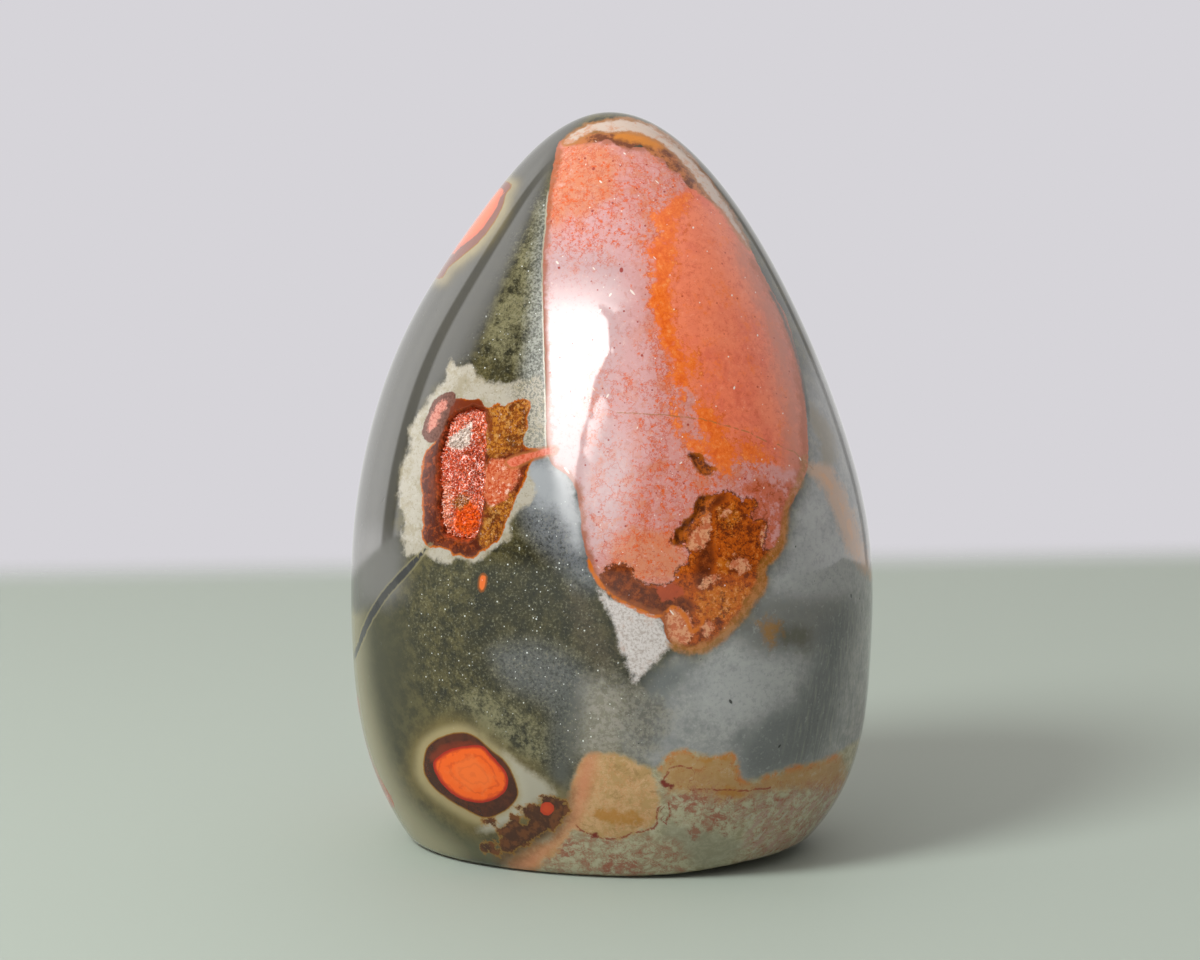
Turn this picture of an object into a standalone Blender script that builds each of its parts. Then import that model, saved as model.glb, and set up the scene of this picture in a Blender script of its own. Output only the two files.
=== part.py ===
"""Hand-polished freeform of polychrome jasper, standing on a flat base.

The stone is an egg with its lower tip ground off, a little flatter from front to back
than from side to side. An open vug in its front is lined with one crust of small
crystals, and two small fissures are open in the patch to the right of it.
Sizes are in millimetres: +X is to the right, -Y is the front and +Z is up.
"""

import bpy
import bmesh
import numpy as np
from mathutils import Vector
from mathutils.bvhtree import BVHTree

MM = 0.001

# The stone's form: half its width, and how far its middle is off centre, at each height
HEIGHT = 100.0
GROUND_OFF = 14.0
PROFILE_HEIGHTS = (0.0, 12.0, 26.0, 42.0, 58.0, 74.0, 88.0, 97.0)
HALF_WIDTHS = (27.6, 33.7, 35.7, 35.5, 32.1, 25.5, 16.6, 8.1)
SIDE_SHIFTS = (-0.3, 0.0, 0.0, 0.0, -0.5, -0.5, 0.2, 0.1)
DEPTH_SHARE_AT_BASE = 0.74
DEPTH_SHARE_AT_TOP = 0.80
SQUARENESS = 0.05
SPHERE_SUBDIVISIONS = 5

# The rim of the base, rounded over by the last polish
RIM_ROUNDING = 1.2
RIM_STEPS = 3
CUT_SNAP = 0.12

# The open vug: where it is, the way it faces, and its outline as (up, left, right)
VUG_PLACE = (-14.8, -23.6, 54.1)
VUG_FACING = (-0.298, -0.936, 0.186)
VUG_OUTLINE = (
    (-8.4, -1.6, 2.2),
    (-6.6, -2.8, 3.3),
    (-3.8, -3.4, 3.7),
    (0.0, -3.9, 3.5),
    (3.0, -4.0, 3.3),
    (5.6, -3.4, 3.1),
    (7.6, -2.4, 2.7),
    (8.7, -0.4, 2.1),
)
VUG_DEPTH = 1.6
VUG_CELLS = (8, 18)

# The crystal crust in the vug: fits the floor with a hairline gap all round
CRUST_GAP = 0.3
CRUST_THICKNESS = 0.35
CRUST_RIM = 0.86
CRUST_CELLS = (12, 28)
CRYSTAL_HEIGHTS = (0.1, 0.55)
CRYSTAL_JITTER = 0.18
CRYSTAL_SEED = 11

# Two open fissures in the front right, each with its place, facing, outline and depth
FISSURES = {
    "upper_fissure": (
        (16.7, -22.1, 56.1),
        (0.379, -0.897, 0.228),
        ((-1.3, 0.5, 1.7), (-0.6, -0.3, 1.9), (0.2, -1.2, 0.9), (1.0, -1.7, 0.2), (1.5, -1.3, -0.6)),
        0.5,
    ),
    "lower_fissure": (
        (15.3, -24.1, 49.1),
        (0.316, -0.936, 0.154),
        ((-3.1, -1.6, -0.3), (-1.2, -1.6, 0.5), (0.4, 0.2, 1.9), (1.6, 0.7, 2.8), (2.8, 1.6, 3.4)),
        0.6,
    ),
}
FISSURE_CELLS = (3, 6)

# How a hollow is cut: its cutter stands proud of the surface, and its walls lean inwards
CUTTER_RISE = 2.0
FLOOR_SHARE = 0.94
RIM_LIFT = 0.25


def clear_objects():
    """Empty the file of whatever objects it holds."""
    for leftover in list(bpy.data.objects):
        bpy.data.objects.remove(leftover, do_unlink=True)


def polished_material(name, colour, roughness):
    """Plain Principled material in the stone's own colour."""
    material = bpy.data.materials.new(name)
    material.use_nodes = True
    shader = material.node_tree.nodes["Principled BSDF"]
    shader.inputs["Base Color"].default_value = (*colour, 1.0)
    shader.inputs["Roughness"].default_value = roughness
    shader.inputs["Metallic"].default_value = 0.0
    return material


def object_from(bm, name, material):
    """Turn a bmesh in millimetres into a named object in metres."""
    bmesh.ops.scale(bm, vec=(MM, MM, MM), verts=bm.verts[:])
    mesh = bpy.data.meshes.new(name)
    bm.to_mesh(mesh)
    bm.free()
    piece = bpy.data.objects.new(name, mesh)
    bpy.context.scene.collection.objects.link(piece)
    if material is not None:
        mesh.materials.append(material)
    return piece


def smooth_curve(knots, values, at):
    """Natural cubic spline through the knots, read at the given places."""
    knots = np.asarray(knots, dtype=float)
    values = np.asarray(values, dtype=float)
    at = np.clip(at, knots[0], None)
    spans = np.diff(knots)
    slopes = np.diff(values) / spans
    count = len(knots)
    system = np.eye(count)
    target = np.zeros(count)
    for row in range(1, count - 1):
        system[row, row - 1] = spans[row - 1]
        system[row, row] = 2.0 * (spans[row - 1] + spans[row])
        system[row, row + 1] = spans[row]
        target[row] = 6.0 * (slopes[row] - slopes[row - 1])
    bends = np.linalg.solve(system, target)
    left = np.clip(np.searchsorted(knots, at, side="right") - 1, 0, count - 2)
    along = at - knots[left]
    first = slopes[left] - spans[left] * (2.0 * bends[left] + bends[left + 1]) / 6.0
    third = (bends[left + 1] - bends[left]) / (6.0 * spans[left])
    return values[left] + along * (first + along * (bends[left] / 2.0 + along * third))


def stone_point(direction):
    """Carry a point of the unit sphere to the stone's polished surface."""
    full_height = HEIGHT + GROUND_OFF
    height = 0.5 * full_height * (1.0 + direction.z) - GROUND_OFF
    knots = np.array(PROFILE_HEIGHTS)
    round_share = np.array(HALF_WIDTHS) ** 2 / ((HEIGHT - knots) * (knots + GROUND_OFF))
    width_share = float(np.sqrt(smooth_curve(knots, round_share, height)))
    shift = float(smooth_curve(knots, SIDE_SHIFTS, height))
    depth_share = float(np.interp(height, (0.0, HEIGHT), (DEPTH_SHARE_AT_BASE, DEPTH_SHARE_AT_TOP)))
    spread = max(direction.x ** 2 + direction.y ** 2, 1e-12)
    reach = 0.5 * full_height * width_share
    x = shift + reach * direction.x * (1.0 + SQUARENESS * direction.y ** 2 / spread)
    y = reach * depth_share * direction.y * (1.0 + SQUARENESS * direction.x ** 2 / spread)
    return Vector((x, y, height))


def round_the_rim(bm):
    """Draw the lowest rings of the wall inwards along a quarter circle."""
    for vert in bm.verts:
        if vert.co.z < RIM_ROUNDING:
            rise = (RIM_ROUNDING - max(vert.co.z, 0.0)) / RIM_ROUNDING
            inset = RIM_ROUNDING * (1.0 - (1.0 - rise ** 2) ** 0.5)
            sideways = Vector((vert.co.x, vert.co.y, 0.0))
            vert.co -= sideways.normalized() * inset


def stone_body():
    """The whole polished egg, with its lower tip ground off flat."""
    bm = bmesh.new()
    bmesh.ops.create_icosphere(bm, subdivisions=SPHERE_SUBDIVISIONS, radius=1.0)
    for vert in bm.verts:
        vert.co = stone_point(vert.co.normalized())
    quarter = np.linspace(0.5 * np.pi, 0.0, RIM_STEPS, endpoint=False)
    for angle in (*quarter[::-1], None):
        cut_height = 0.0 if angle is None else RIM_ROUNDING * (1.0 - float(np.cos(angle)))
        bmesh.ops.bisect_plane(
            bm,
            geom=bm.verts[:] + bm.edges[:] + bm.faces[:],
            dist=CUT_SNAP,
            plane_co=(0.0, 0.0, cut_height),
            plane_no=(0.0, 0.0, 1.0),
            use_snap_center=True,
            clear_inner=angle is None,
        )
    round_the_rim(bm)
    rim = [edge for edge in bm.edges if edge.is_boundary]
    bmesh.ops.edgeloop_fill(bm, edges=rim)
    bmesh.ops.recalc_face_normals(bm, faces=bm.faces[:])
    return bm


class Hollow:
    """A patch of the surface, with axes to the right, up and out of it."""

    def __init__(self, surface, place, facing, outline):
        self.surface = surface
        self.place = Vector(place)
        self.facing = Vector(facing).normalized()
        self.side = Vector((0.0, 0.0, 1.0)).cross(self.facing).normalized()
        self.up = self.facing.cross(self.side)
        self.outline = np.array(outline)

    def point(self, across, along, share, rise):
        """Point over the patch, rise above the polished surface.

        across and along run from -1 to 1 between the sides and the ends of the outline,
        and share draws the whole outline in towards its middle.
        """
        ups, lefts, rights = self.outline.T
        middle = 0.5 * (ups[0] + ups[-1])
        up = middle + 0.5 * (ups[-1] - ups[0]) * along
        left = np.interp(up, ups, lefts)
        right = np.interp(up, ups, rights)
        side = float(0.5 * (left + right) + 0.5 * (right - left) * across * share)
        up = float(middle + (up - middle) * share)
        over = self.place + self.side * side + self.up * up + self.facing * HEIGHT
        hit = self.surface.ray_cast(over, -self.facing)[0]
        return hit + self.facing * float(rise)


def floor_depth(across, along, deepest):
    """Depth of a hollow's floor, which lifts a little towards its walls."""
    return deepest * (1.0 - RIM_LIFT * across ** 4) * (1.0 - RIM_LIFT * along ** 4)


def grid_solid(cells, lower_point, upper_point):
    """Closed solid between two grids of points, and the faces of its upper grid."""
    columns, rows = cells
    bm = bmesh.new()
    sheets = []
    for point in (lower_point, upper_point):
        sheet = []
        for row in range(rows + 1):
            along = 2.0 * row / rows - 1.0
            places = [point(2.0 * column / columns - 1.0, along) for column in range(columns + 1)]
            sheet.append([bm.verts.new(place) for place in places])
        sheets.append(sheet)
    lower, upper = sheets
    upper_faces = []
    for row in range(rows):
        for column in range(columns):
            corners = ((row, column), (row, column + 1), (row + 1, column + 1), (row + 1, column))
            bm.faces.new([lower[r][c] for r, c in reversed(corners)])
            upper_faces.append(bm.faces.new([upper[r][c] for r, c in corners]))
    around = [(0, column) for column in range(columns)]
    around += [(row, columns) for row in range(rows)]
    around += [(rows, column) for column in range(columns, 0, -1)]
    around += [(row, 0) for row in range(rows, 0, -1)]
    for (r, c), (next_r, next_c) in zip(around, around[1:] + around[:1]):
        bm.faces.new((lower[r][c], lower[next_r][next_c], upper[next_r][next_c], upper[r][c]))
    return bm, upper_faces


def hollow_cutter(name, hollow, cells, deepest):
    """Solid that is cut out of the stone to leave the hollow."""

    def floor(across, along):
        return hollow.point(across, along, FLOOR_SHARE, -floor_depth(across, along, deepest))

    def lid(across, along):
        return hollow.point(across, along, 1.0, CUTTER_RISE)

    bm, _ = grid_solid(cells, floor, lid)
    cutter = object_from(bm, name, None)
    cutter.hide_render = True
    cutter.display_type = "WIRE"
    return cutter


def crystal_crust(hollow, material):
    """One crust of low pointed crystals that lines the floor of the vug."""
    random = np.random.default_rng(CRYSTAL_SEED)

    def nudge():
        over, up = random.uniform(-CRYSTAL_JITTER, CRYSTAL_JITTER, 2)
        return hollow.side * float(over) + hollow.up * float(up)

    def underside(across, along):
        rise = CRUST_GAP - floor_depth(across * CRUST_RIM, along * CRUST_RIM, VUG_DEPTH)
        return hollow.point(across, along, CRUST_RIM, rise)

    def top(across, along):
        place = underside(across, along) + hollow.facing * CRUST_THICKNESS
        inside = max(abs(across), abs(along)) < 1.0
        return place + nudge() if inside else place

    bm, top_faces = grid_solid(CRUST_CELLS, underside, top)
    tips = bmesh.ops.poke(bm, faces=top_faces)["verts"]
    for tip in tips:
        tip.co += nudge() + hollow.facing * float(random.uniform(*CRYSTAL_HEIGHTS))
    return object_from(bm, "druse_crust", material)


def build():
    """Make the stone with its hollows, and the crust in the vug."""
    clear_objects()
    body = stone_body()
    surface = BVHTree.FromBMesh(body)
    stone = object_from(body, "jasper_stone", polished_material("polished_jasper", (0.16, 0.16, 0.13), 0.12))
    stone.data.shade_smooth()
    stone.data.set_sharp_from_angle(angle=np.radians(35.0))

    vug = Hollow(surface, VUG_PLACE, VUG_FACING, VUG_OUTLINE)
    cutters = [hollow_cutter("vug_cutter", vug, VUG_CELLS, VUG_DEPTH)]
    for name, (place, facing, outline, depth) in FISSURES.items():
        fissure = Hollow(surface, place, facing, outline)
        cutters.append(hollow_cutter(name + "_cutter", fissure, FISSURE_CELLS, depth))
    for cutter in cutters:
        cut = stone.modifiers.new(cutter.name, "BOOLEAN")
        cut.operation = "DIFFERENCE"
        cut.solver = "EXACT"
        cut.object = cutter

    crystal_crust(vug, polished_material("red_druse", (0.55, 0.09, 0.03), 0.3))


build()
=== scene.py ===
"""A hand-polished freeform of polychrome jasper on a pale table, lit by one large window."""

import bmesh
import bpy
import numpy as np
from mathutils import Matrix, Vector, noise
from mathutils.bvhtree import BVHTree
from mathutils.interpolate import poly_3d_calc


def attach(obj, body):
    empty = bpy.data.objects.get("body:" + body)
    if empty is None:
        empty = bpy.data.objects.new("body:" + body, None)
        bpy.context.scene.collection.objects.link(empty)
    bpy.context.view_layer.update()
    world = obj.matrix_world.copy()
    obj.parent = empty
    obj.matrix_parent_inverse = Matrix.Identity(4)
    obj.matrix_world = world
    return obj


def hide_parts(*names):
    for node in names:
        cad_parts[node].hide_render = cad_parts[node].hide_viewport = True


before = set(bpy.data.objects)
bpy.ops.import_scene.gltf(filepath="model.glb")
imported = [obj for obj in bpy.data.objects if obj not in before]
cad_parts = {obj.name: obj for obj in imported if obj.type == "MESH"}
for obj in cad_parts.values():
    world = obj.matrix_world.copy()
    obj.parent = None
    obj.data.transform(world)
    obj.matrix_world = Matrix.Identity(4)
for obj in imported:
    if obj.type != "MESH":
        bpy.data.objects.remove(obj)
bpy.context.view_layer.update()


# The camera looks at the stone from a little to the right of its front and a little above,
# through a long lens. The same lens carries the outlines that are drawn on the picture to the
# stone, once, so that every marking stays where it is when the stone is seen from elsewhere.

MM = 0.001
CAMERA_TURN = 12.0
CAMERA_RISE = 9.0
CAMERA_DISTANCE = 454.0
LENS = 100.0
SENSOR = 36.0
PICTURE_WIDTH = 1200.0
PICTURE_HEIGHT = 960.0
AIM_HEIGHT = 50.0
AIM_RIGHT_OF_MIDDLE = 10.3
AIM_BELOW_MIDDLE = 0.9
PIXELS_PER_UNIT = PICTURE_WIDTH * LENS / SENSOR
PIXELS_PER_MM = PIXELS_PER_UNIT / CAMERA_DISTANCE

turn = np.radians(CAMERA_TURN)
rise = np.radians(CAMERA_RISE)
towards_camera = np.array([np.sin(turn) * np.cos(rise), -np.cos(turn) * np.cos(rise), np.sin(rise)])
aim = np.array([0.0, 0.0, AIM_HEIGHT])
eye = aim + CAMERA_DISTANCE * towards_camera


def placed(name, data):
    """A new object in the scene, made of the given data."""
    made = bpy.data.objects.new(name, data)
    bpy.context.scene.collection.objects.link(made)
    return made


def camera_axes(direction):
    """The picture's rightward, upward and inward directions for a camera looking that way."""
    right = np.cross(direction, (0.0, 0.0, 1.0))
    right /= np.linalg.norm(right)
    return right, np.cross(right, direction), direction


picture_right, picture_up, _ = camera_axes(-towards_camera)
looked_at = (
    aim
    - picture_right * AIM_RIGHT_OF_MIDDLE / PIXELS_PER_MM
    + picture_up * AIM_BELOW_MIDDLE / PIXELS_PER_MM
)
gaze = (looked_at - eye) / np.linalg.norm(looked_at - eye)
picture_right, picture_up, gaze = camera_axes(gaze)

camera_data = bpy.data.cameras.new("camera")
camera_data.lens = LENS
camera_data.sensor_width = SENSOR
camera_data.clip_start = 0.01
camera_data.clip_end = 20.0
camera = placed("camera", camera_data)
camera.location = Vector(eye) * MM
camera.rotation_euler = Vector(gaze).to_track_quat("-Z", "Y").to_euler()
bpy.context.scene.camera = camera


def in_picture(points):
    """Where points in millimetres fall in the picture, in pixels across and down."""
    offset = points - eye
    depth = offset @ gaze
    across = PICTURE_WIDTH / 2 + PIXELS_PER_UNIT * (offset @ picture_right) / depth
    down = PICTURE_HEIGHT / 2 - PIXELS_PER_UNIT * (offset @ picture_up) / depth
    return np.stack([across, down], axis=1)


# The stone is one piece of jasper, ground to an egg, cut flat underneath and polished all over.
# Its surface is a fine mesh of the same egg as the solid, closest in front, with the open vug
# and the two fissures sunk into it. The edge of its base is rounded, and lifts at the front
# right, where the stone clears the table by a hair and throws a thin dark shadow.

HEIGHT = 100.0
GROUND_OFF = 14.0
PROFILE_HEIGHTS = (0.0, 12.0, 26.0, 42.0, 58.0, 74.0, 88.0, 97.0)
HALF_WIDTHS = (27.6, 33.7, 35.7, 35.5, 32.1, 25.5, 16.6, 8.1)
SIDE_SHIFTS = (-0.3, 0.0, 0.0, 0.0, -0.5, -0.5, 0.2, 0.1)
DEPTH_SHARE_AT_BASE = 0.74
DEPTH_SHARE_AT_TOP = 0.80
SQUARENESS = 0.05
RIM_ROUNDING = 1.2
RIM_CUTS = (1.2, 0.7, 0.35, 0.1)
HEEL_LIFT = 1.4
HEEL_REACH = 13.0
HEEL_BEARINGS = (-72.0, -55.0, -32.0, -15.0, 20.0, 60.0)
HEEL_SHARES = (0.0, 0.2, 0.85, 1.0, 0.8, 0.0)
SPHERE_LEVEL = 7
FRONT_PULL = 0.55


def smooth_curve(knots, values, at):
    """Natural cubic spline through the knots, read at the given places."""
    knots = np.asarray(knots, dtype=float)
    values = np.asarray(values, dtype=float)
    at = np.clip(at, knots[0], None)
    spans = np.diff(knots)
    slopes = np.diff(values) / spans
    count = len(knots)
    system = np.eye(count)
    target = np.zeros(count)
    for row in range(1, count - 1):
        system[row, row - 1:row + 2] = (spans[row - 1], 2.0 * (spans[row - 1] + spans[row]), spans[row])
        target[row] = 6.0 * (slopes[row] - slopes[row - 1])
    bends = np.linalg.solve(system, target)
    left = np.clip(np.searchsorted(knots, at, side="right") - 1, 0, count - 2)
    along = at - knots[left]
    first = slopes[left] - spans[left] * (2.0 * bends[left] + bends[left + 1]) / 6.0
    third = (bends[left + 1] - bends[left]) / (6.0 * spans[left])
    return values[left] + along * (first + along * (bends[left] / 2.0 + along * third))


def stone_surface(directions):
    """Carry directions on the unit sphere to the polished surface."""
    full_height = HEIGHT + GROUND_OFF
    heights = 0.5 * full_height * (1.0 + directions[:, 2]) - GROUND_OFF
    knots = np.array(PROFILE_HEIGHTS)
    round_share = np.array(HALF_WIDTHS) ** 2 / ((HEIGHT - knots) * (knots + GROUND_OFF))
    reach = 0.5 * full_height * np.sqrt(smooth_curve(knots, round_share, heights))
    shift = smooth_curve(knots, SIDE_SHIFTS, heights)
    depth_share = np.interp(heights, (0.0, HEIGHT), (DEPTH_SHARE_AT_BASE, DEPTH_SHARE_AT_TOP))
    x, y = directions[:, 0], directions[:, 1]
    spread = np.maximum(x ** 2 + y ** 2, 1e-12)
    wide = shift + reach * x * (1.0 + SQUARENESS * y ** 2 / spread)
    deep = reach * depth_share * y * (1.0 + SQUARENESS * x ** 2 / spread)
    return np.stack([wide, deep, heights], axis=1)


def drawn_forward(directions):
    """Crowd directions together round the one that faces the camera."""
    front = directions @ towards_camera
    sideways = directions - front[:, None] * towards_camera
    spread = np.maximum(np.linalg.norm(sideways, axis=1), 1e-9)
    angle = 2.0 * np.arctan(FRONT_PULL * np.tan(0.5 * np.arctan2(spread, front)))
    return np.cos(angle)[:, None] * towards_camera + (np.sin(angle) / spread)[:, None] * sideways


def mesh_points(bm):
    """All of a bmesh's points as one array."""
    return np.array([vert.co[:] for vert in bm.verts])


def move_points(bm, points):
    """Put all of a bmesh's points where the array says."""
    for vert, point in zip(bm.verts, points):
        vert.co = point


# Open hollows in the polished face: where each one is, the way it faces, its outline as
# (up, left, right) seen square on, its depth, and how wide its wall is.

VUG_PLACE = np.array([-14.8, -23.6, 54.1])
VUG_FACING = np.array([-0.298, -0.936, 0.186])
VUG_OUTLINE = (
    (-8.4, -1.6, 2.2),
    (-6.6, -2.8, 3.3),
    (-3.8, -3.4, 3.7),
    (0.0, -3.9, 3.5),
    (3.0, -4.0, 3.3),
    (5.6, -3.4, 3.1),
    (7.6, -2.4, 2.7),
    (8.7, -0.4, 2.1),
)
VUG_DEPTH = 1.5
UPPER_FISSURE_PLACE = np.array([16.7, -22.1, 56.1])
UPPER_FISSURE_FACING = np.array([0.379, -0.897, 0.228])
UPPER_FISSURE_OUTLINE = (
    (-1.3, 0.5, 1.7),
    (-0.6, -0.3, 1.9),
    (0.2, -1.2, 0.9),
    (1.0, -1.7, 0.2),
    (1.5, -1.3, -0.6),
)
LOWER_FISSURE_PLACE = np.array([15.3, -24.1, 49.1])
LOWER_FISSURE_FACING = np.array([0.316, -0.936, 0.154])
LOWER_FISSURE_OUTLINE = (
    (-3.1, -1.6, -0.3),
    (-1.2, -1.6, 0.5),
    (0.4, 0.2, 1.9),
    (1.6, 0.7, 2.8),
    (2.8, 1.6, 3.4),
)
HOLLOWS = (
    (VUG_PLACE, VUG_FACING, VUG_OUTLINE, VUG_DEPTH, 0.5),
    (UPPER_FISSURE_PLACE, UPPER_FISSURE_FACING, UPPER_FISSURE_OUTLINE, 0.45, 0.4),
    (LOWER_FISSURE_PLACE, LOWER_FISSURE_FACING, LOWER_FISSURE_OUTLINE, 0.35, 0.45),
)
HOLLOW_REACH = 12.0
HOLLOW_RAGGEDNESS = 0.45
RAGGED_EVERY = 1.1
RAGGED_LAYERS = (0.4, 7.8)


def patch_axes(facing):
    """Rightward and upward directions of a patch that faces the given way."""
    facing = facing / np.linalg.norm(facing)
    side = np.cross((0.0, 0.0, 1.0), facing)
    side /= np.linalg.norm(side)
    return side, np.cross(facing, side), facing


def rounded(points, steps=6):
    """A closed outline with its corners drawn into one smooth curve."""
    points = np.asarray(points, dtype=float)
    before, after, beyond = (np.roll(points, shift, axis=0) for shift in (1, -1, -2))
    curve = []
    for t in np.linspace(0.0, 1.0, steps, endpoint=False):
        bend = 2.0 * points + t * (after - before)
        bend += t * t * (2.0 * before - 5.0 * points + 4.0 * after - beyond)
        bend += t ** 3 * (3.0 * points - before - 3.0 * after + beyond)
        curve.append(0.5 * bend)
    return np.stack(curve, axis=1).reshape(-1, 2)


def distance_to_line(points, line, closed=False):
    """Distance of every point from a line of straight pieces."""
    ends = np.roll(line, -1, axis=0) if closed else line[1:]
    starts = line if closed else line[:-1]
    nearest = np.full(len(points), np.inf)
    for start, end in zip(starts, ends):
        step = end - start
        along = np.clip(((points - start) @ step) / max(step @ step, 1e-12), 0.0, 1.0)
        nearest = np.minimum(nearest, ((points - start - along[:, None] * step) ** 2).sum(axis=1))
    return np.sqrt(nearest)


def distance_inside(points, outline):
    """Distance of every point inside a closed outline, negative outside it."""
    enclosed = np.zeros(len(points), dtype=bool)
    for (x0, y0), (x1, y1) in zip(outline, np.roll(outline, -1, axis=0)):
        between = (y0 > points[:, 1]) != (y1 > points[:, 1])
        with np.errstate(divide="ignore", invalid="ignore"):
            crossing = x0 + (points[:, 1] - y0) * (x1 - x0) / (y1 - y0)
        enclosed ^= between & (points[:, 0] < crossing)
    nearest = distance_to_line(points, outline, closed=True)
    return np.where(enclosed, nearest, -nearest)


def chipped(loop):
    """An outline made irregular, the same way in every run."""
    places = [[Vector((*point, layer)) / RAGGED_EVERY for point in loop] for layer in RAGGED_LAYERS]
    bumps = [[noise.noise(place) for place in layer] for layer in places]
    return loop + HOLLOW_RAGGEDNESS * np.array(bumps).T


def inside_hollow(points, place, facing, outline):
    """Millimetres inside a hollow's outline, negative outside it."""
    side, up, facing = patch_axes(facing)
    ups, lefts, rights = np.array(outline).T
    loop = np.concatenate([np.stack([rights, ups], axis=1), np.stack([lefts, ups], axis=1)[::-1]])
    offset = points - place
    inside = distance_inside(np.stack([offset @ side, offset @ up], axis=1), chipped(rounded(loop)))
    return np.where(np.abs(offset @ facing) < HOLLOW_REACH, inside, -HOLLOW_REACH)


bm = bmesh.new()
bmesh.ops.create_icosphere(bm, subdivisions=SPHERE_LEVEL, radius=1.0)
move_points(bm, drawn_forward(mesh_points(bm)))

points = stone_surface(mesh_points(bm))
near_hollow = np.zeros(len(points), dtype=bool)
for place, facing, outline, _, _ in HOLLOWS:
    near_hollow |= inside_hollow(points, place, facing, outline) > -1.0
bm.verts.ensure_lookup_table()
edges = [edge for edge in bm.edges if all(near_hollow[vert.index] for vert in edge.verts)]
bmesh.ops.subdivide_edges(bm, edges=edges, cuts=1, use_grid_fill=True)
bmesh.ops.triangulate(bm, faces=[face for face in bm.faces if len(face.verts) > 3])
directions = mesh_points(bm)
directions /= np.linalg.norm(directions, axis=1)[:, None]
move_points(bm, stone_surface(directions))

for cut_height in (*RIM_CUTS, 0.0):
    bmesh.ops.bisect_plane(
        bm,
        geom=bm.verts[:] + bm.edges[:] + bm.faces[:],
        dist=0.05,
        plane_co=(0.0, 0.0, cut_height),
        plane_no=(0.0, 0.0, 1.0),
        use_snap_center=True,
        clear_inner=cut_height == 0.0,
    )
points = mesh_points(bm)
drop = np.clip((RIM_ROUNDING - points[:, 2]) / RIM_ROUNDING, 0.0, 1.0)
inset = RIM_ROUNDING * (1.0 - np.sqrt(1.0 - drop ** 2))
level = points * (1.0, 1.0, 0.0)
bearing = np.degrees(np.arctan2(points[:, 1], points[:, 0]))
heel = np.interp(bearing, HEEL_BEARINGS, HEEL_SHARES)
points -= level / np.maximum(np.linalg.norm(level, axis=1), 1e-9)[:, None] * inset[:, None]
points[:, 2] += HEEL_LIFT * heel * np.clip(1.0 - points[:, 2] / HEEL_REACH, 0.0, 1.0) ** 2
move_points(bm, points)
rim = [edge for edge in bm.edges if edge.is_boundary]
bmesh.ops.edgeloop_fill(bm, edges=rim)
bmesh.ops.recalc_face_normals(bm, faces=bm.faces[:])
bm.normal_update()
polished_face = BVHTree.FromBMesh(bm)

polished = mesh_points(bm)
normals = np.array([vert.normal[:] for vert in bm.verts])
sunk = polished.copy()
vug_inside = None
fissure_inside = np.full(len(polished), -HOLLOW_REACH)
for place, facing, outline, depth, wall in HOLLOWS:
    inside = inside_hollow(polished, place, facing, outline)
    fall = np.clip(inside / wall, 0.0, 1.0)
    sunk -= (depth * fall * fall * (3.0 - 2.0 * fall))[:, None] * patch_axes(facing)[2]
    if vug_inside is None:
        vug_inside = inside
    else:
        fissure_inside = np.maximum(fissure_inside, inside)
move_points(bm, sunk * MM)

stone_mesh = bpy.data.meshes.new("polished_stone")
bm.to_mesh(stone_mesh)
bm.free()
stone_mesh.shade_smooth()
stone = placed("polished_stone", stone_mesh)


# Markings of the front, drawn as outlines on the picture. Each one becomes a field on the
# stone that says how far inside the marking a place is, in millimetres, negative outside.
# A marking or a cloud of ground colour that runs off the outline goes on through to the back.

view = eye - polished
view /= np.linalg.norm(view, axis=1)[:, None]
facing_camera = np.einsum("ij,ij->i", view, normals)
pixels = in_picture(polished)
HIDDEN = -20.0
SILHOUETTE_FADE = 25.0


def keep_field(mesh, name, values):
    """Keep one number for each of a mesh's points, for the materials to read."""
    layer = mesh.attributes.new(name, "FLOAT", "POINT")
    layer.data.foreach_set("value", np.asarray(values, dtype=np.float32))


def drawn(outline, through=False, steps=5):
    """Field of a closed outline drawn on the picture, in front alone unless it goes through."""
    shape = rounded(outline, steps)
    reach = HIDDEN * PIXELS_PER_MM
    near = (pixels > shape.min(axis=0) + reach).all(axis=1)
    near &= (pixels < shape.max(axis=0) - reach).all(axis=1)
    if not through:
        near &= facing_camera > 0.0
    field = np.full(len(polished), HIDDEN)
    field[near] = distance_inside(pixels[near], shape) / PIXELS_PER_MM
    return field if through else np.minimum(field, facing_camera * SILHOUETTE_FADE)


def drawn_line(points, half_width):
    """Field of an open line drawn on the picture, that far to each side of it."""
    line = np.asarray(points, dtype=float)
    field = np.full(len(polished), HIDDEN)
    seen = facing_camera > 0.0
    field[seen] = half_width - distance_to_line(pixels[seen], line) / PIXELS_PER_MM
    return field


def oval(centre, tall, wide):
    """Field of an oval spot round a place on the back."""
    offset = (polished - np.array(centre)) / (wide, wide, tall)
    across = np.hypot(offset[:, 0], offset[:, 1])
    bearing = np.arctan2(offset[:, 2], np.copysign(across, offset[:, 0]))
    wobble = 1.0 + 0.06 * np.sin(2.0 * bearing + tall) + 0.05 * np.sin(5.0 * bearing + wide)
    return (1.0 - np.hypot(across, offset[:, 2]) * wobble) * min(tall, wide)


def side_spot(top, bottom, wide):
    """Field of an oval spot that the stone's edge in the picture cuts, from its two ends there."""
    middle = 0.5 * (np.array(top) + bottom)
    away = np.linalg.norm(pixels - middle, axis=1) + np.where(facing_camera < 0.0, 1000.0, 0.0)
    offset = polished - polished[np.argmin(away)]
    along = (top[0] - bottom[0]) * picture_right + (bottom[1] - top[1]) * picture_up
    length = np.linalg.norm(along)
    share = np.hypot(offset @ along * 2.0 * PIXELS_PER_MM / length ** 2, offset @ gaze / wide)
    return (1.0 - share) * wide


def union(*parts):
    """Field of several markings taken as one."""
    return np.maximum.reduce(parts)


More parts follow.
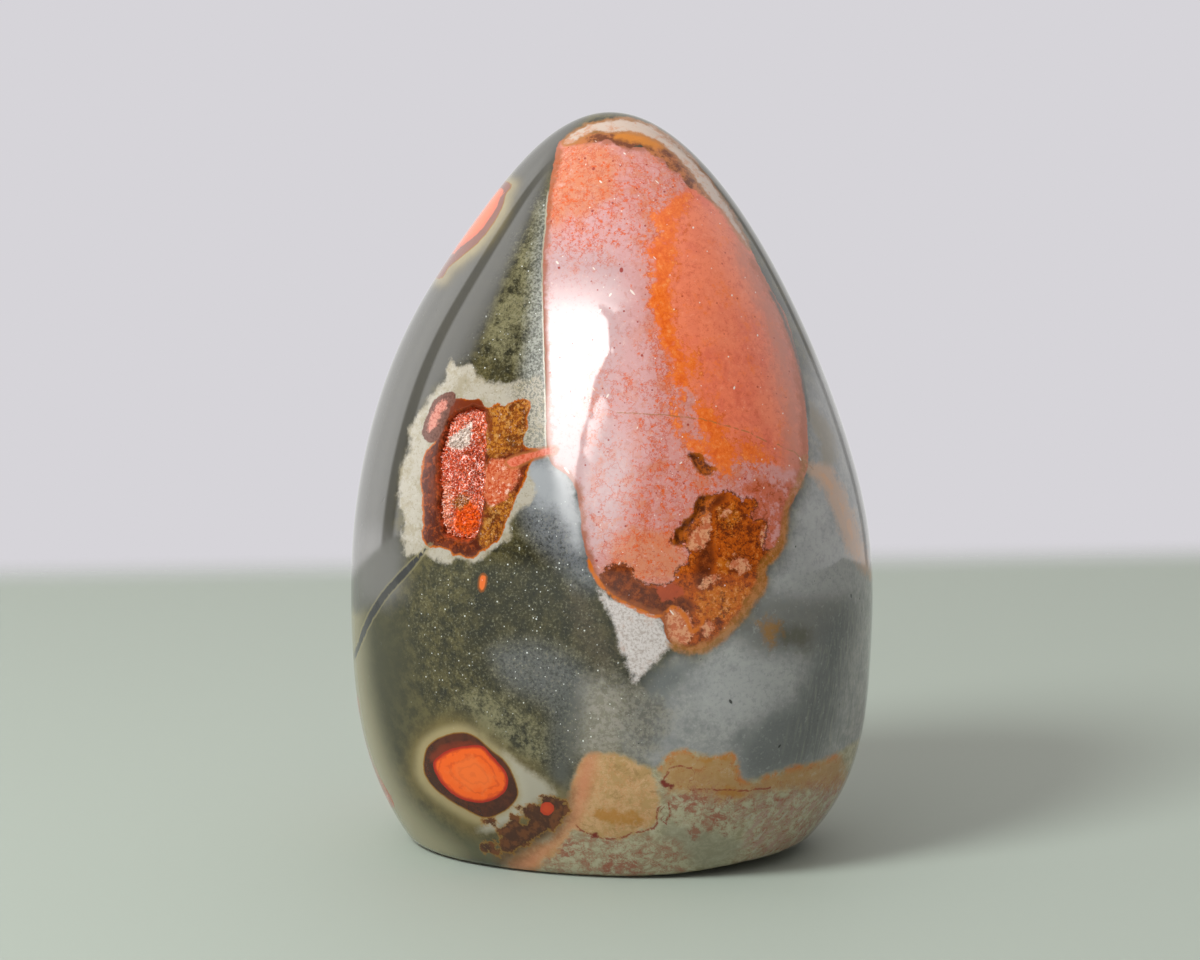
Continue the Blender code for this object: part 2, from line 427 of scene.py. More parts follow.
def seams(*lines):
    """Hair-thin lines as two fields: how far to one side, and how far inside the ends."""
    side = np.full(len(polished), -HIDDEN)
    inside = np.full(len(polished), HIDDEN)
    for points in lines:
        line = np.asarray(points, dtype=float)
        for start, end in zip(line[:-1], line[1:]):
            step = (end - start) / np.linalg.norm(end - start)
            along = (pixels - start) @ step
            reach = np.minimum(along, np.linalg.norm(end - start) - along) / PIXELS_PER_MM
            across = (pixels - start) @ (-step[1], step[0]) / PIXELS_PER_MM
            nearer = (facing_camera > 0.0) & (reach > -0.4) & (np.abs(across) < np.abs(side))
            side[nearer] = across[nearer]
            inside[nearer] = reach[nearer]
    return side, inside


fields = {}

# Clouds of the ground: grey at the left, dark in the middle, blue-grey at the right, with painted reflections
# laid among them
# Partly painted reflection: the grey at the left stands for the wall that the polish mirrors there
fields["grey_left_and_reflection"] = drawn([
    (590, 100), (562, 150), (546, 182), (528, 222), (515, 252), (499, 295), (484, 332), (474, 356),
    (456, 366), (440, 382), (424, 408), (410, 440), (402, 478), (398, 520), (404, 556), (398, 590),
    (372, 606), (350, 610), (325, 560), (320, 400), (420, 210), (530, 90),
], through=True)
fields["grainy"] = union(
    drawn([
        (549, 195), (533, 215), (515, 255), (498, 305), (478, 345), (462, 378), (480, 400), (520, 400),
        (550, 440), (552, 330), (550, 250),
    ]),
    drawn([
        (412, 600), (432, 560), (480, 555), (530, 500), (548, 470), (570, 500), (586, 560), (600, 590),
        (636, 690), (650, 740), (600, 752), (570, 760), (545, 775), (510, 740), (470, 716), (436, 712),
        (416, 680), (405, 640),
    ]),
    oval((-6.0, 25.0, 62.0), 30.0, 20.0),
)
# A duller strip of ground along the patch's left edge; its pale colour is a painted highlight, the window's
# streak spread by the duller polish
fields["frosted_sheen_edge"] = drawn([
    (548, 205), (540, 215), (533, 250), (529, 300), (524, 345), (520, 390), (527, 410), (529, 445),
    (548, 450), (553, 420), (552, 300),
])
fields["dark_heart"] = drawn([
    (480, 575), (500, 558), (530, 552), (562, 560), (585, 585), (604, 620), (622, 655), (634, 690),
    (618, 690), (596, 655), (560, 640), (520, 640), (485, 650), (470, 620),
])
fields["dark_band"] = drawn([
    (556, 690), (575, 690), (582, 720), (578, 752), (566, 790), (552, 780), (548, 740),
])
fields["brown_haze"] = drawn([
    (572, 590), (584, 590), (600, 625), (616, 655), (606, 672), (588, 660), (575, 630),
])
fields["olive_light"] = union(
    drawn([
        (490, 318), (498, 290), (512, 262), (526, 236), (540, 214), (546, 230), (538, 290), (530, 340),
        (520, 360), (500, 356), (488, 346),
    ]),
    drawn([(462, 700), (486, 694), (512, 708), (534, 726), (552, 748), (540, 764), (512, 750), (484, 726)]),
    drawn([(500, 770), (520, 764), (548, 782), (566, 800), (556, 800), (530, 776)]),
    oval((-2.0, 26.0, 80.0), 10.0, 12.0),
)
fields["lower_glow"] = drawn([
    (408, 806), (430, 816), (456, 832), (480, 842), (500, 848), (500, 866), (470, 864), (436, 852),
    (410, 834), (396, 816),
])
fields["dusk_middle"] = drawn([
    (628, 692), (644, 696), (662, 706), (664, 730), (652, 750), (634, 748), (622, 722),
])
# Painted reflection: a grey veil of mirrored light over the dark middle
fields["reflection_veil"] = drawn([
    (488, 650), (512, 640), (540, 640), (566, 650), (588, 668), (602, 690), (588, 712), (560, 716),
    (530, 700), (505, 688), (492, 668),
])
fields["pale_middle"] = drawn([
    (584, 690), (605, 680), (630, 690), (644, 715), (640, 745), (610, 756), (584, 756), (574, 735),
])
# Painted reflection: the soft haze of the window's streak, below it, over the dark ground
fields["reflected_haze"] = drawn([
    (518, 470), (530, 456), (548, 456), (566, 478), (580, 510), (586, 540), (596, 570), (592, 590),
    (575, 580), (556, 560), (535, 540), (522, 515),
])
fields["smooth_left"] = drawn([
    (345, 620), (375, 612), (400, 620), (408, 660), (404, 720), (404, 790), (425, 830), (470, 850),
    (500, 862), (480, 880), (400, 850), (350, 760), (335, 680),
], through=True)
fields["pale_flank"] = drawn([
    (330, 580), (356, 600), (359, 640), (363, 680), (370, 715), (384, 760), (404, 800), (424, 826),
    (450, 848), (460, 866), (400, 860), (340, 800), (325, 700),
], through=True)
fields["blue_side"] = drawn([
    (808, 380), (809, 466), (796, 505), (786, 545), (768, 580), (748, 612), (724, 640), (700, 656),
    (676, 656), (652, 676), (636, 700), (626, 740), (650, 772), (700, 780), (760, 790), (830, 780),
    (900, 760), (920, 600), (890, 450), (860, 380), (830, 330),
], through=True)
fields["blue_pale"] = union(
    drawn([
        (800, 468), (814, 474), (824, 496), (826, 530), (856, 568), (860, 584), (836, 596), (810, 598),
        (782, 590), (776, 576), (788, 556), (796, 530), (802, 500),
    ]),
    drawn([
        (700, 700), (696, 680), (716, 664), (744, 656), (776, 658), (796, 668), (790, 692), (766, 708),
        (738, 722), (716, 722),
    ]),
)
# Painted reflection: a darker band of the blue-grey that stands for the table's shadow mirrored in the polish
fields["blue_reflected_shadow"] = drawn([
    (736, 618), (752, 602), (776, 596), (804, 600), (832, 600), (852, 612), (848, 640), (830, 650),
    (806, 652), (780, 652), (756, 650), (742, 636),
])
fields["brushed"] = drawn([
    (800, 660), (830, 600), (880, 560), (900, 640), (880, 780), (840, 860), (740, 870), (720, 830),
    (770, 760),
])
# Painted reflection in the main: darker blue-grey by the right edge, for the table's shadow mirrored there
fields["blue_shade_reflected"] = union(
    drawn([
        (820, 640), (838, 610), (852, 600), (848, 650), (838, 700), (820, 750), (780, 776), (746, 778),
        (738, 745), (770, 715), (800, 695),
    ]),
    drawn([(656, 664), (690, 668), (676, 690), (650, 705), (636, 700), (640, 682)]),
)

# The big salmon patch: its orange crumbs, the vein, and the coral to the right of the vein
fields["salmon"] = union(
    drawn([
        (560, 141), (553, 168), (548, 195), (546, 225), (543, 260), (544, 330), (546, 400), (547, 450),
        (554, 466), (571, 480), (579, 503), (582, 533), (587, 556), (594, 575), (604, 590), (621, 601),
        (642, 611), (656, 616), (663, 622), (666, 636), (673, 645), (686, 650), (702, 649), (723, 633),
        (738, 621), (749, 606), (762, 591), (767, 578), (765, 568), (776, 558), (783, 545), (786, 528),
        (788, 512), (796, 496), (803, 480), (808, 462), (807, 421), (803, 380), (795, 345), (785, 315),
        (770, 287), (757, 262), (742, 234), (726, 212), (704, 192), (684, 176), (666, 158), (652, 148),
        (630, 146), (606, 138), (580, 140),
    ]),
    oval((9.0, 25.0, 58.0), 26.0, 15.0),
    oval((-31.0, 11.0, 13.0), 11.0, 9.0),
    np.minimum(
        side_spot((352, 690), (390, 812), 7.0),
        drawn([
            (350, 694), (358, 696), (361, 720), (368, 748), (379, 776), (394, 804), (384, 820), (350, 770),
            (335, 720),
        ], through=True),
    ),
)
fields["coral"] = union(
    drawn([
        (686, 190), (672, 200), (661, 209), (654, 218), (659, 229), (663, 236), (653, 242), (646, 247),
        (651, 258), (654, 270), (655, 284), (652, 300), (656, 316), (658, 332), (664, 346), (671, 358),
        (674, 370), (672, 381), (682, 388), (696, 396), (695, 416), (700, 430), (708, 441), (716, 456),
        (730, 463), (745, 455), (765, 462), (790, 470), (840, 460), (840, 360), (800, 280), (755, 215),
        (715, 180),
    ]),
    oval((18.0, 21.0, 55.0), 24.0, 12.0),
)
fields["vein"] = union(
    drawn([
        (684, 193), (672, 200), (661, 209), (654, 218), (659, 229), (663, 236), (653, 242), (646, 247),
        (651, 258), (654, 270), (655, 284), (652, 300), (656, 316), (658, 332), (664, 346), (671, 358),
        (674, 370), (672, 381), (681, 390), (688, 380), (686, 362), (680, 344), (674, 326), (671, 306),
        (672, 284), (674, 262), (676, 240), (679, 218), (690, 200),
    ]),
    drawn([
        (676, 398), (684, 392), (680, 404), (679, 418), (682, 430), (692, 438), (704, 443), (718, 440),
        (733, 443), (738, 455), (733, 468), (727, 474), (714, 462), (702, 456), (694, 452), (684, 440),
        (676, 430), (674, 412),
    ]),
    drawn([(698, 400), (710, 408), (722, 424), (728, 440), (712, 444), (702, 432), (696, 416)]),
    drawn([(742, 442), (756, 446), (770, 456), (762, 463), (748, 458)]),
    drawn([(690, 350), (696, 362), (692, 376), (686, 366)]),
)
fields["orange_crumbs"] = union(
    drawn([(570, 170), (588, 162), (606, 172), (604, 190), (588, 200), (570, 192)]) + 2.0,
    drawn([(626, 204), (640, 198), (652, 206), (650, 228), (640, 236), (624, 230)]) + 2.0,
    drawn([
        (552, 170), (570, 150), (600, 152), (625, 168), (660, 165), (680, 185), (660, 215), (650, 245),
        (620, 250), (590, 262), (560, 250), (548, 215),
    ]),
    drawn([
        (650, 330), (668, 345), (680, 385), (672, 430), (700, 470), (760, 470), (765, 500), (720, 495),
        (690, 500), (650, 470), (640, 420),
    ]),
    drawn([
        (600, 480), (640, 460), (680, 470), (700, 500), (680, 530), (690, 560), (640, 585), (610, 565),
        (590, 530),
    ]),
    drawn([(600, 380), (625, 375), (630, 400), (615, 440), (600, 460), (590, 430)]),
    drawn([(745, 250), (760, 300), (790, 380), (800, 440), (780, 440), (765, 400), (740, 320)]),
    oval((6.0, 26.0, 60.0), 18.0, 9.0),
)
# Partly painted highlight: the mauve is paler under the window's streak and its haze, so that they read white
fields["pale_mauve_and_glare"] = drawn([
    (540, 244), (558, 240), (580, 252), (604, 250), (622, 276), (622, 330), (614, 372), (608, 410),
    (620, 446), (630, 484), (620, 520), (604, 548), (590, 556), (575, 500), (560, 470), (540, 450),
])
# Painted highlight: the pale tail that the window's streak trails below it
fields["highlight_tail"] = drawn([
    (522, 470), (534, 462), (550, 462), (562, 470), (574, 488), (580, 512), (584, 540), (578, 552),
    (566, 530), (552, 512), (536, 506), (524, 494),
])
# Painted reflection: a thin dark line along the right edge, mirrored from something upright
fields["side_reflection_line"] = drawn_line([
    (770, 290), (781, 312), (790, 334), (797, 356), (802, 378), (806, 400), (809, 420),
], 0.13)
fields["pink_glow"] = drawn([
    (590, 200), (625, 205), (645, 250), (648, 310), (655, 350), (660, 400), (650, 450), (620, 480),
    (595, 500), (575, 470), (548, 440), (548, 300), (556, 230),
])
fields["warm_glow"] = union(
    drawn([(556, 150), (590, 142), (612, 150), (620, 172), (604, 200), (575, 215), (552, 230), (548, 190)]),
    drawn([(610, 545), (640, 530), (680, 545), (690, 562), (672, 582), (640, 584), (618, 566)]),
)
fields["dusky_side"] = drawn([
    (742, 240), (765, 282), (786, 330), (800, 390), (806, 440), (800, 480), (786, 500), (780, 470),
    (784, 420), (774, 360), (755, 300), (735, 255),
])
fields["rust"] = union(
    drawn([
        (600, 582), (603, 573), (612, 566), (625, 565), (632, 569), (633, 578), (644, 584), (660, 586),
        (672, 583), (677, 573), (687, 561), (690, 549), (681, 543), (672, 541), (676, 531), (686, 527),
        (694, 520), (695, 510), (702, 500), (714, 496), (724, 491), (734, 495), (742, 500), (752, 498),
        (756, 506), (749, 514), (754, 522), (764, 520), (766, 528), (762, 546), (770, 552), (784, 545),
        (800, 560), (760, 640), (690, 670), (640, 640), (590, 600),
    ]),
    oval((2.0, 27.0, 40.0), 9.0, 11.0),
)
fields["rust_mottle"] = drawn([
    (736, 494), (752, 482), (776, 478), (796, 486), (796, 506), (787, 524), (785, 545), (768, 552),
    (752, 536), (744, 512),
])
fields["dark_rust"] = union(
    drawn([
        (596, 574), (606, 565), (628, 565), (634, 578), (650, 588), (668, 594), (690, 600), (692, 612),
        (668, 614), (640, 614), (610, 600),
    ]),
    drawn([
        (697, 503), (712, 498), (726, 493), (722, 503), (712, 510), (709, 530), (714, 560), (704, 590),
        (694, 580), (700, 550), (703, 520),
    ]),
    drawn([(673, 536), (682, 528), (694, 528), (690, 536), (680, 542)]),
)
fields["gold_rust"] = union(
    drawn([(716, 506), (726, 505), (742, 512), (738, 524), (724, 530), (716, 522)]),
    drawn([(720, 560), (738, 556), (742, 566), (728, 574), (718, 570)]),
    drawn([(700, 590), (730, 585), (750, 590), (738, 612), (712, 620), (696, 612)]),
)
fields["pink_chip"] = union(
    drawn([(701, 511), (705, 506), (709, 513), (709, 522), (702, 522), (699, 516)]),
    drawn([(688, 545), (692, 534), (700, 528), (708, 525), (708, 538), (702, 547), (694, 549)]) + 0.2,
    drawn([(729, 566), (734, 557), (744, 559), (749, 564), (744, 572), (734, 571)]) + 0.1,
    drawn([(698, 586), (704, 579), (714, 575), (721, 577), (713, 584), (703, 589)]),
    drawn([(764, 530), (776, 526), (782, 526), (779, 540), (770, 545), (763, 544)]) + 0.25,
    drawn([(667, 626), (671, 611), (680, 609), (688, 617), (692, 632), (685, 644), (675, 645)]) + 0.2,
    drawn([(700, 632), (706, 621), (713, 626), (706, 638)]),
    drawn([(717, 515), (724, 508), (731, 512), (727, 519)]) - 0.1,
)
fields["rose_chip"] = drawn([(655, 586), (667, 582), (677, 584), (684, 592), (672, 599), (660, 598)])
fields["ochre_rim"] = drawn([
    (664, 642), (673, 652), (688, 656), (706, 653), (727, 642), (740, 627), (752, 612), (765, 596),
    (770, 580), (769, 568), (782, 556), (788, 540), (790, 522), (792, 508), (799, 494), (805, 478),
    (809, 458), (803, 456), (796, 478), (788, 494), (783, 509), (780, 526), (777, 538), (771, 549),
    (760, 560), (756, 570), (755, 582), (745, 598), (737, 612), (724, 626), (712, 638), (698, 643),
    (688, 644), (676, 640),
])
fields["gold_edge"] = drawn_line([
    (588, 560), (593, 573), (601, 586), (616, 599), (636, 609), (654, 617), (664, 614), (672, 607),
    (680, 610), (687, 620), (691, 632), (699, 628), (706, 616),
], 0.22)
fields["side_rim"] = drawn_line([
    (754, 262), (770, 288), (783, 316), (793, 345), (800, 380), (804, 420), (805, 452), (800, 478),
], 0.35)

# The cream and ochre bands over the top
fields["cream_band"] = drawn([
    (564, 143), (572, 134), (588, 125), (606, 121), (626, 120), (645, 124), (662, 133), (682, 149),
    (697, 165), (713, 185), (728, 208), (742, 232), (750, 248), (743, 241), (733, 226), (720, 209),
    (706, 192), (695, 178), (683, 163), (668, 148), (650, 137), (632, 132), (610, 132), (594, 132),
    (582, 136), (573, 143),
])
fields["brown_band"] = drawn([
    (566, 145), (580, 136), (596, 132), (612, 131), (632, 130), (652, 134), (670, 146), (686, 162),
    (698, 176), (710, 191), (722, 205), (733, 222), (727, 212), (717, 205), (705, 198), (696, 191),
    (688, 187), (682, 178), (679, 172), (674, 172), (667, 166), (664, 159), (654, 156), (648, 150),
    (643, 146), (636, 146), (630, 150), (623, 147), (617, 144), (606, 140), (596, 142), (581, 143),
])
fields["gold_band"] = drawn([
    (612, 138), (622, 131), (640, 130), (656, 136), (667, 146), (655, 148), (636, 143),
])

# The rust patch round the vug, with its cream halo
fields["vug_patch"] = drawn([
    (446, 402), (456, 398), (464, 398), (472, 400), (480, 399), (486, 407), (492, 406), (498, 403),
    (504, 406), (512, 401), (522, 398), (528, 400), (530, 407), (527, 418), (528, 428), (524, 438),
    (525, 446), (540, 450), (534, 460), (528, 468), (526, 478), (520, 492), (514, 504), (509, 516),
    (504, 530), (499, 541), (491, 544), (487, 551), (482, 551), (475, 558), (467, 559), (460, 555),
    (454, 556), (448, 551), (438, 547), (428, 547), (422, 538), (423, 520), (421, 495), (421, 470),
    (426, 450), (434, 443), (440, 428),
])
fields["vug_arm"] = drawn([
    (506, 462), (515, 457), (530, 452), (546, 448), (556, 447), (556, 453), (544, 456), (528, 461),
    (514, 467),
])
fields["vug_gold"] = union(
    drawn([
        (488, 412), (500, 405), (512, 402), (524, 399), (531, 406), (527, 420), (527, 432), (524, 446),
        (510, 452), (496, 456), (488, 452), (486, 430),
    ]),
    drawn([
        (488, 506), (498, 500), (512, 492), (514, 500), (506, 520), (500, 538), (486, 546), (480, 540),
        (484, 524),
    ]),
)
fields["vug_rose"] = drawn([
    (486, 466), (494, 459), (506, 458), (516, 462), (518, 476), (512, 490), (504, 500), (494, 506),
    (486, 502), (484, 484),
])
fields["vug_crown"] = drawn([
    (446, 410), (454, 399), (466, 399), (480, 400), (486, 410), (492, 420), (490, 440), (486, 420),
    (478, 410), (462, 408), (450, 416),
])
fields["vug_lobe"] = drawn([
    (423, 438), (423, 426), (428, 412), (433, 402), (442, 394), (453, 391), (457, 398), (450, 410),
    (446, 424), (440, 436), (432, 443),
])
fields["vug_pink"] = drawn([
    (427, 428), (431, 414), (438, 403), (446, 399), (448, 404), (441, 414), (436, 426), (430, 432),
])
fields["vug_halo"] = drawn([
    (400, 470), (404, 455), (410, 445), (408, 430), (416, 414), (424, 404), (434, 390), (446, 376),
    (450, 356), (456, 366), (464, 362), (474, 366), (480, 378), (492, 382), (506, 384), (522, 379),
    (540, 377), (548, 400), (546, 440), (540, 450), (528, 470), (538, 490), (530, 505), (512, 520),
    (513, 540), (500, 546), (486, 556), (472, 564), (458, 559), (446, 566), (436, 560), (420, 556),
    (408, 558), (402, 548), (402, 520), (398, 498),
])
# Painted reflection: a lighter grey spot inside the mirrored grey at the left edge
fields["left_reflection_spot"] = drawn([
    (352, 540), (372, 530), (392, 540), (402, 560), (402, 590), (388, 604), (368, 600), (354, 580),
])

# The dark healed crack that runs from the rust patch down to the left edge
fields["crack"] = drawn([
    (434, 541), (426, 547), (412, 560), (396, 576), (381, 594), (368, 615), (359, 638), (352, 660),
    (356, 658), (363, 640), (373, 619), (386, 599), (400, 583), (414, 567), (427, 550),
])
fields["seam_side"], fields["seam_inside"] = seams(
    [(618, 413), (632, 413), (652, 414), (676, 416), (700, 419), (724, 425), (748, 432), (766, 441)],
    [(778, 445), (792, 451), (806, 462), (814, 470)],
)
fields["bead"] = drawn([(478, 586), (479, 577), (483, 573), (487, 576), (486, 586), (483, 592), (479, 591)])

# Eyes: an orange core in a dark brown ring, with a cream halo round it
EYE_CENTRES = ((-17.0, 22.5, 38.0), (25.5, 16.0, 24.0), (27.0, 14.0, 77.0))
EYE_SIZES = ((7.0, 8.5), (5.0, 4.2), (3.2, 3.6))
back_eyes = [oval(centre, *size) for centre, size in zip(EYE_CENTRES, EYE_SIZES)]
side_eye = side_spot((507, 182), (437, 278), 8.5)
fields["side_eye"] = side_eye
fields["eye"] = union(
    drawn([
        (424, 763), (428, 747), (440, 738), (459, 733), (474, 736), (489, 749), (503, 760), (512, 774),
        (518, 794), (508, 808), (493, 816), (480, 816), (455, 803), (437, 790), (426, 776),
    ]),
    np.minimum(
        side_eye + 0.8,
        drawn([
            (507, 182), (505, 194), (502, 206), (496, 218), (489, 229), (480, 240), (469, 250), (458, 259),
            (448, 267), (437, 278), (400, 250), (440, 170),
        ], through=True),
    ),
    *back_eyes,
)
fields["eye_core"] = union(
    drawn([
        (433, 765), (438, 757), (451, 749), (466, 746), (482, 746), (493, 757), (506, 772), (508, 784),
        (504, 793), (493, 800), (480, 803), (464, 800), (449, 791), (438, 778),
    ]),
    drawn([(540, 808), (542, 803), (549, 802), (554, 806), (553, 812), (547, 816), (541, 813)]),
    np.minimum(
        side_eye - 1.2,
        drawn([
            (502, 188), (500, 198), (496, 208), (489, 219), (481, 230), (470, 240), (459, 248), (450, 254),
            (410, 230), (450, 180),
        ], through=True),
    ),
    *[spot - 1.7 for spot in back_eyes],
)
fields["eye_halo"] = union(
    drawn([
        (408, 765), (414, 738), (432, 723), (456, 718), (480, 728), (503, 747), (531, 765), (549, 783),
        (563, 795), (556, 812), (531, 818), (506, 828), (488, 832), (470, 834), (446, 815), (424, 797),
        (411, 783),
    ]),
    np.minimum(
        side_eye + 3.4,
        drawn([
            (511, 178), (511, 198), (507, 212), (500, 225), (491, 238), (479, 250), (466, 261), (452, 271),
            (438, 282), (400, 250), (440, 170),
        ], through=True),
    ),
    *[spot + 2.6 for spot in back_eyes],
)
fields["eye_pale"] = drawn([
    (500, 750), (512, 757), (531, 770), (548, 784), (556, 795), (540, 800), (526, 812), (506, 826),
    (488, 832), (476, 830), (490, 820), (512, 806), (518, 790), (510, 768),
])
fields["eye_rust"] = drawn([
    (430, 757), (442, 746), (460, 741), (478, 743), (486, 750), (470, 748), (450, 752), (436, 762),
])
fields["dendrite"] = union(
    drawn([
        (512, 803), (522, 806), (535, 805), (538, 798), (548, 795), (562, 800), (567, 808), (560, 822),
        (546, 832), (524, 846), (508, 853), (500, 848), (503, 838), (497, 830), (506, 824), (512, 816),
        (522, 824), (528, 820), (520, 812),
    ]),
    drawn([(478, 846), (484, 842), (492, 845), (497, 852), (488, 853), (480, 850)]),
    drawn([(486, 817), (494, 820), (498, 824), (492, 826), (486, 823)]),
)
fields["brown_smear"] = drawn([
    (500, 850), (520, 836), (545, 826), (562, 812), (574, 790), (572, 818), (560, 836), (540, 848),
    (520, 862), (504, 870), (496, 862),
])

# The tan foot: its ragged upper edge in front goes on round the back
fields["foot"] = union(
    drawn([
        (500, 872), (510, 858), (533, 843), (552, 831), (565, 814), (570, 792), (577, 768), (585, 756),
        (602, 753), (620, 755), (641, 764), (656, 769), (663, 759), (674, 750), (688, 749), (704, 754),
        (721, 755), (733, 752), (739, 766), (743, 780), (765, 775), (791, 767), (815, 761), (836, 754),
        (870, 735), (920, 730), (920, 900), (700, 960), (500, 930),
    ]),
    np.minimum(
        14.0 + 2.5 * np.sin(polished[:, 0] * 0.21 + 1.0) - polished[:, 2],
        -facing_camera * SILHOUETTE_FADE,
    ),
)
fields["foot_peach"] = drawn([
    (552, 838), (564, 814), (570, 790), (577, 766), (586, 754), (604, 752), (626, 757), (645, 766),
    (657, 780), (660, 800), (656, 822), (640, 832), (611, 839), (597, 836), (577, 832), (560, 850),
    (530, 872), (505, 872), (520, 850),
])
fields["foot_rose"] = drawn([
    (505, 868), (530, 850), (555, 836), (568, 814), (574, 785), (584, 758), (596, 756), (592, 780),
    (586, 805), (574, 828), (552, 850), (530, 872),
])
fields["foot_ochre"] = union(
    drawn([(594, 812), (600, 808), (614, 808), (630, 812), (643, 820), (632, 825), (612, 823), (600, 820)]),
    drawn([(712, 790), (722, 786), (736, 789), (742, 796), (728, 798)]),
    drawn([(700, 758), (716, 754), (730, 756), (722, 762), (706, 763)]),
)
fields["foot_tan"] = drawn([
    (660, 766), (668, 754), (682, 748), (704, 754), (721, 755), (733, 752), (741, 768), (746, 782),
    (790, 768), (836, 754), (850, 790), (810, 790), (770, 790), (740, 800), (715, 800), (690, 796),
    (668, 790),
])
fields["foot_veins"] = union(
    drawn([
        (668, 790), (700, 785), (745, 790), (790, 786), (840, 780), (860, 830), (800, 870), (740, 870),
        (745, 830), (700, 830), (672, 812),
    ]),
    drawn([(540, 860), (560, 838), (600, 838), (640, 838), (680, 846), (690, 875), (640, 880), (560, 880)]),
    np.where(facing_camera < 0.0, 6.0, HIDDEN),
)
fields["right_foot"] = drawn([
    (748, 806), (790, 796), (840, 780), (864, 800), (840, 850), (790, 872), (740, 878), (730, 850),
    (736, 824),
])
fields["red_blotch"] = union(
    drawn([(668, 796), (684, 790), (704, 794), (706, 806), (690, 812), (676, 822), (668, 812)]),
    drawn([(706, 808), (724, 812), (738, 826), (726, 834), (708, 826)]),
    drawn([(686, 822), (700, 826), (706, 838), (694, 838)]),
    drawn([(600, 858), (622, 852), (640, 862), (628, 872), (606, 872)]),
    drawn([(556, 844), (574, 840), (580, 852), (562, 862)]),
)
fields["foot_grey"] = drawn([
    (664, 820), (690, 826), (720, 832), (745, 845), (730, 865), (700, 870), (680, 850), (660, 838),
])
fields["foot_seam_side"], fields["foot_seam_inside"] = seams(
    [
        (576, 826), (582, 831), (590, 836), (600, 838), (612, 839), (624, 837), (634, 833), (648, 830),
        (654, 829),
    ],
    [(654, 829), (657, 822), (657, 814), (659, 806)],
    [(666, 824), (670, 812), (668, 802)],
    [(664, 779), (670, 768), (680, 766), (692, 768)],
    [(690, 790), (712, 789), (740, 791), (770, 788)],
)
fields["foot_spot"] = union(
    drawn([(657, 777), (662, 779), (668, 784), (675, 785), (672, 789), (663, 787), (658, 782)]),
    drawn([(590, 833), (596, 832), (599, 836), (593, 838)]),
)

# Lesser patches: the frosted triangle, the streaks and the orange smudge on the right
fields["frost"] = drawn([
    (597, 590), (606, 594), (616, 600), (638, 609), (658, 617), (667, 630), (671, 646), (660, 656),
    (650, 668), (641, 681), (631, 680), (622, 652), (611, 620),
])
fields["tan_streak"] = drawn([
    (807, 466), (830, 464), (837, 478), (850, 505), (862, 538), (870, 566), (885, 590), (866, 574),
    (850, 552), (840, 528), (830, 505), (818, 484),
], through=True)
fields["olive_streak"] = drawn([
    (806, 400), (814, 405), (826, 418), (835, 436), (836, 464), (820, 462), (818, 440), (808, 420),
])
fields["smudge"] = drawn([(757, 630), (763, 619), (775, 622), (780, 634), (776, 645), (768, 640)])
fields["dark_smudge"] = drawn([(776, 628), (795, 626), (810, 632), (806, 644), (790, 648), (776, 644)])
fields["pit"] = vug_inside
fields["fissure"] = fissure_inside

for name, field in fields.items():
    keep_field(stone_mesh, name, field)


# The finish of the stone: the polish is one clear gloss over everything, and the colour is
# painted up in layers, from the grainy ground to the markings, each with a ragged edge.

STONE_SHARE = 0.88
QUARTZ_IOR = 1.54
RELIEF_DEPTH = 0.06
RELIEF_STRENGTH = 0.35


def shade(red, green, blue, share=1.0):
    """A colour as it is seen, from 0 to 255, turned into the light that a surface sends back."""
    seen = np.array([red, green, blue]) / 255.0
    light = np.where(seen <= 0.04045, seen / 12.92, ((seen + 0.055) / 1.055) ** 2.4)
    return (*(light * share), 1.0)


def wired(tree, kind, settings=None, inputs=None):
    """Add a node, set it up and feed its sockets with values or with other sockets."""
    node = tree.nodes.new(kind)
    for name, value in (settings or {}).items():
        setattr(node, name, value)
    for name, value in (inputs or {}).items():
        if isinstance(value, bpy.types.NodeSocket):
            tree.links.new(value, node.inputs[name])
        else:
            node.inputs[name].default_value = value
    return node


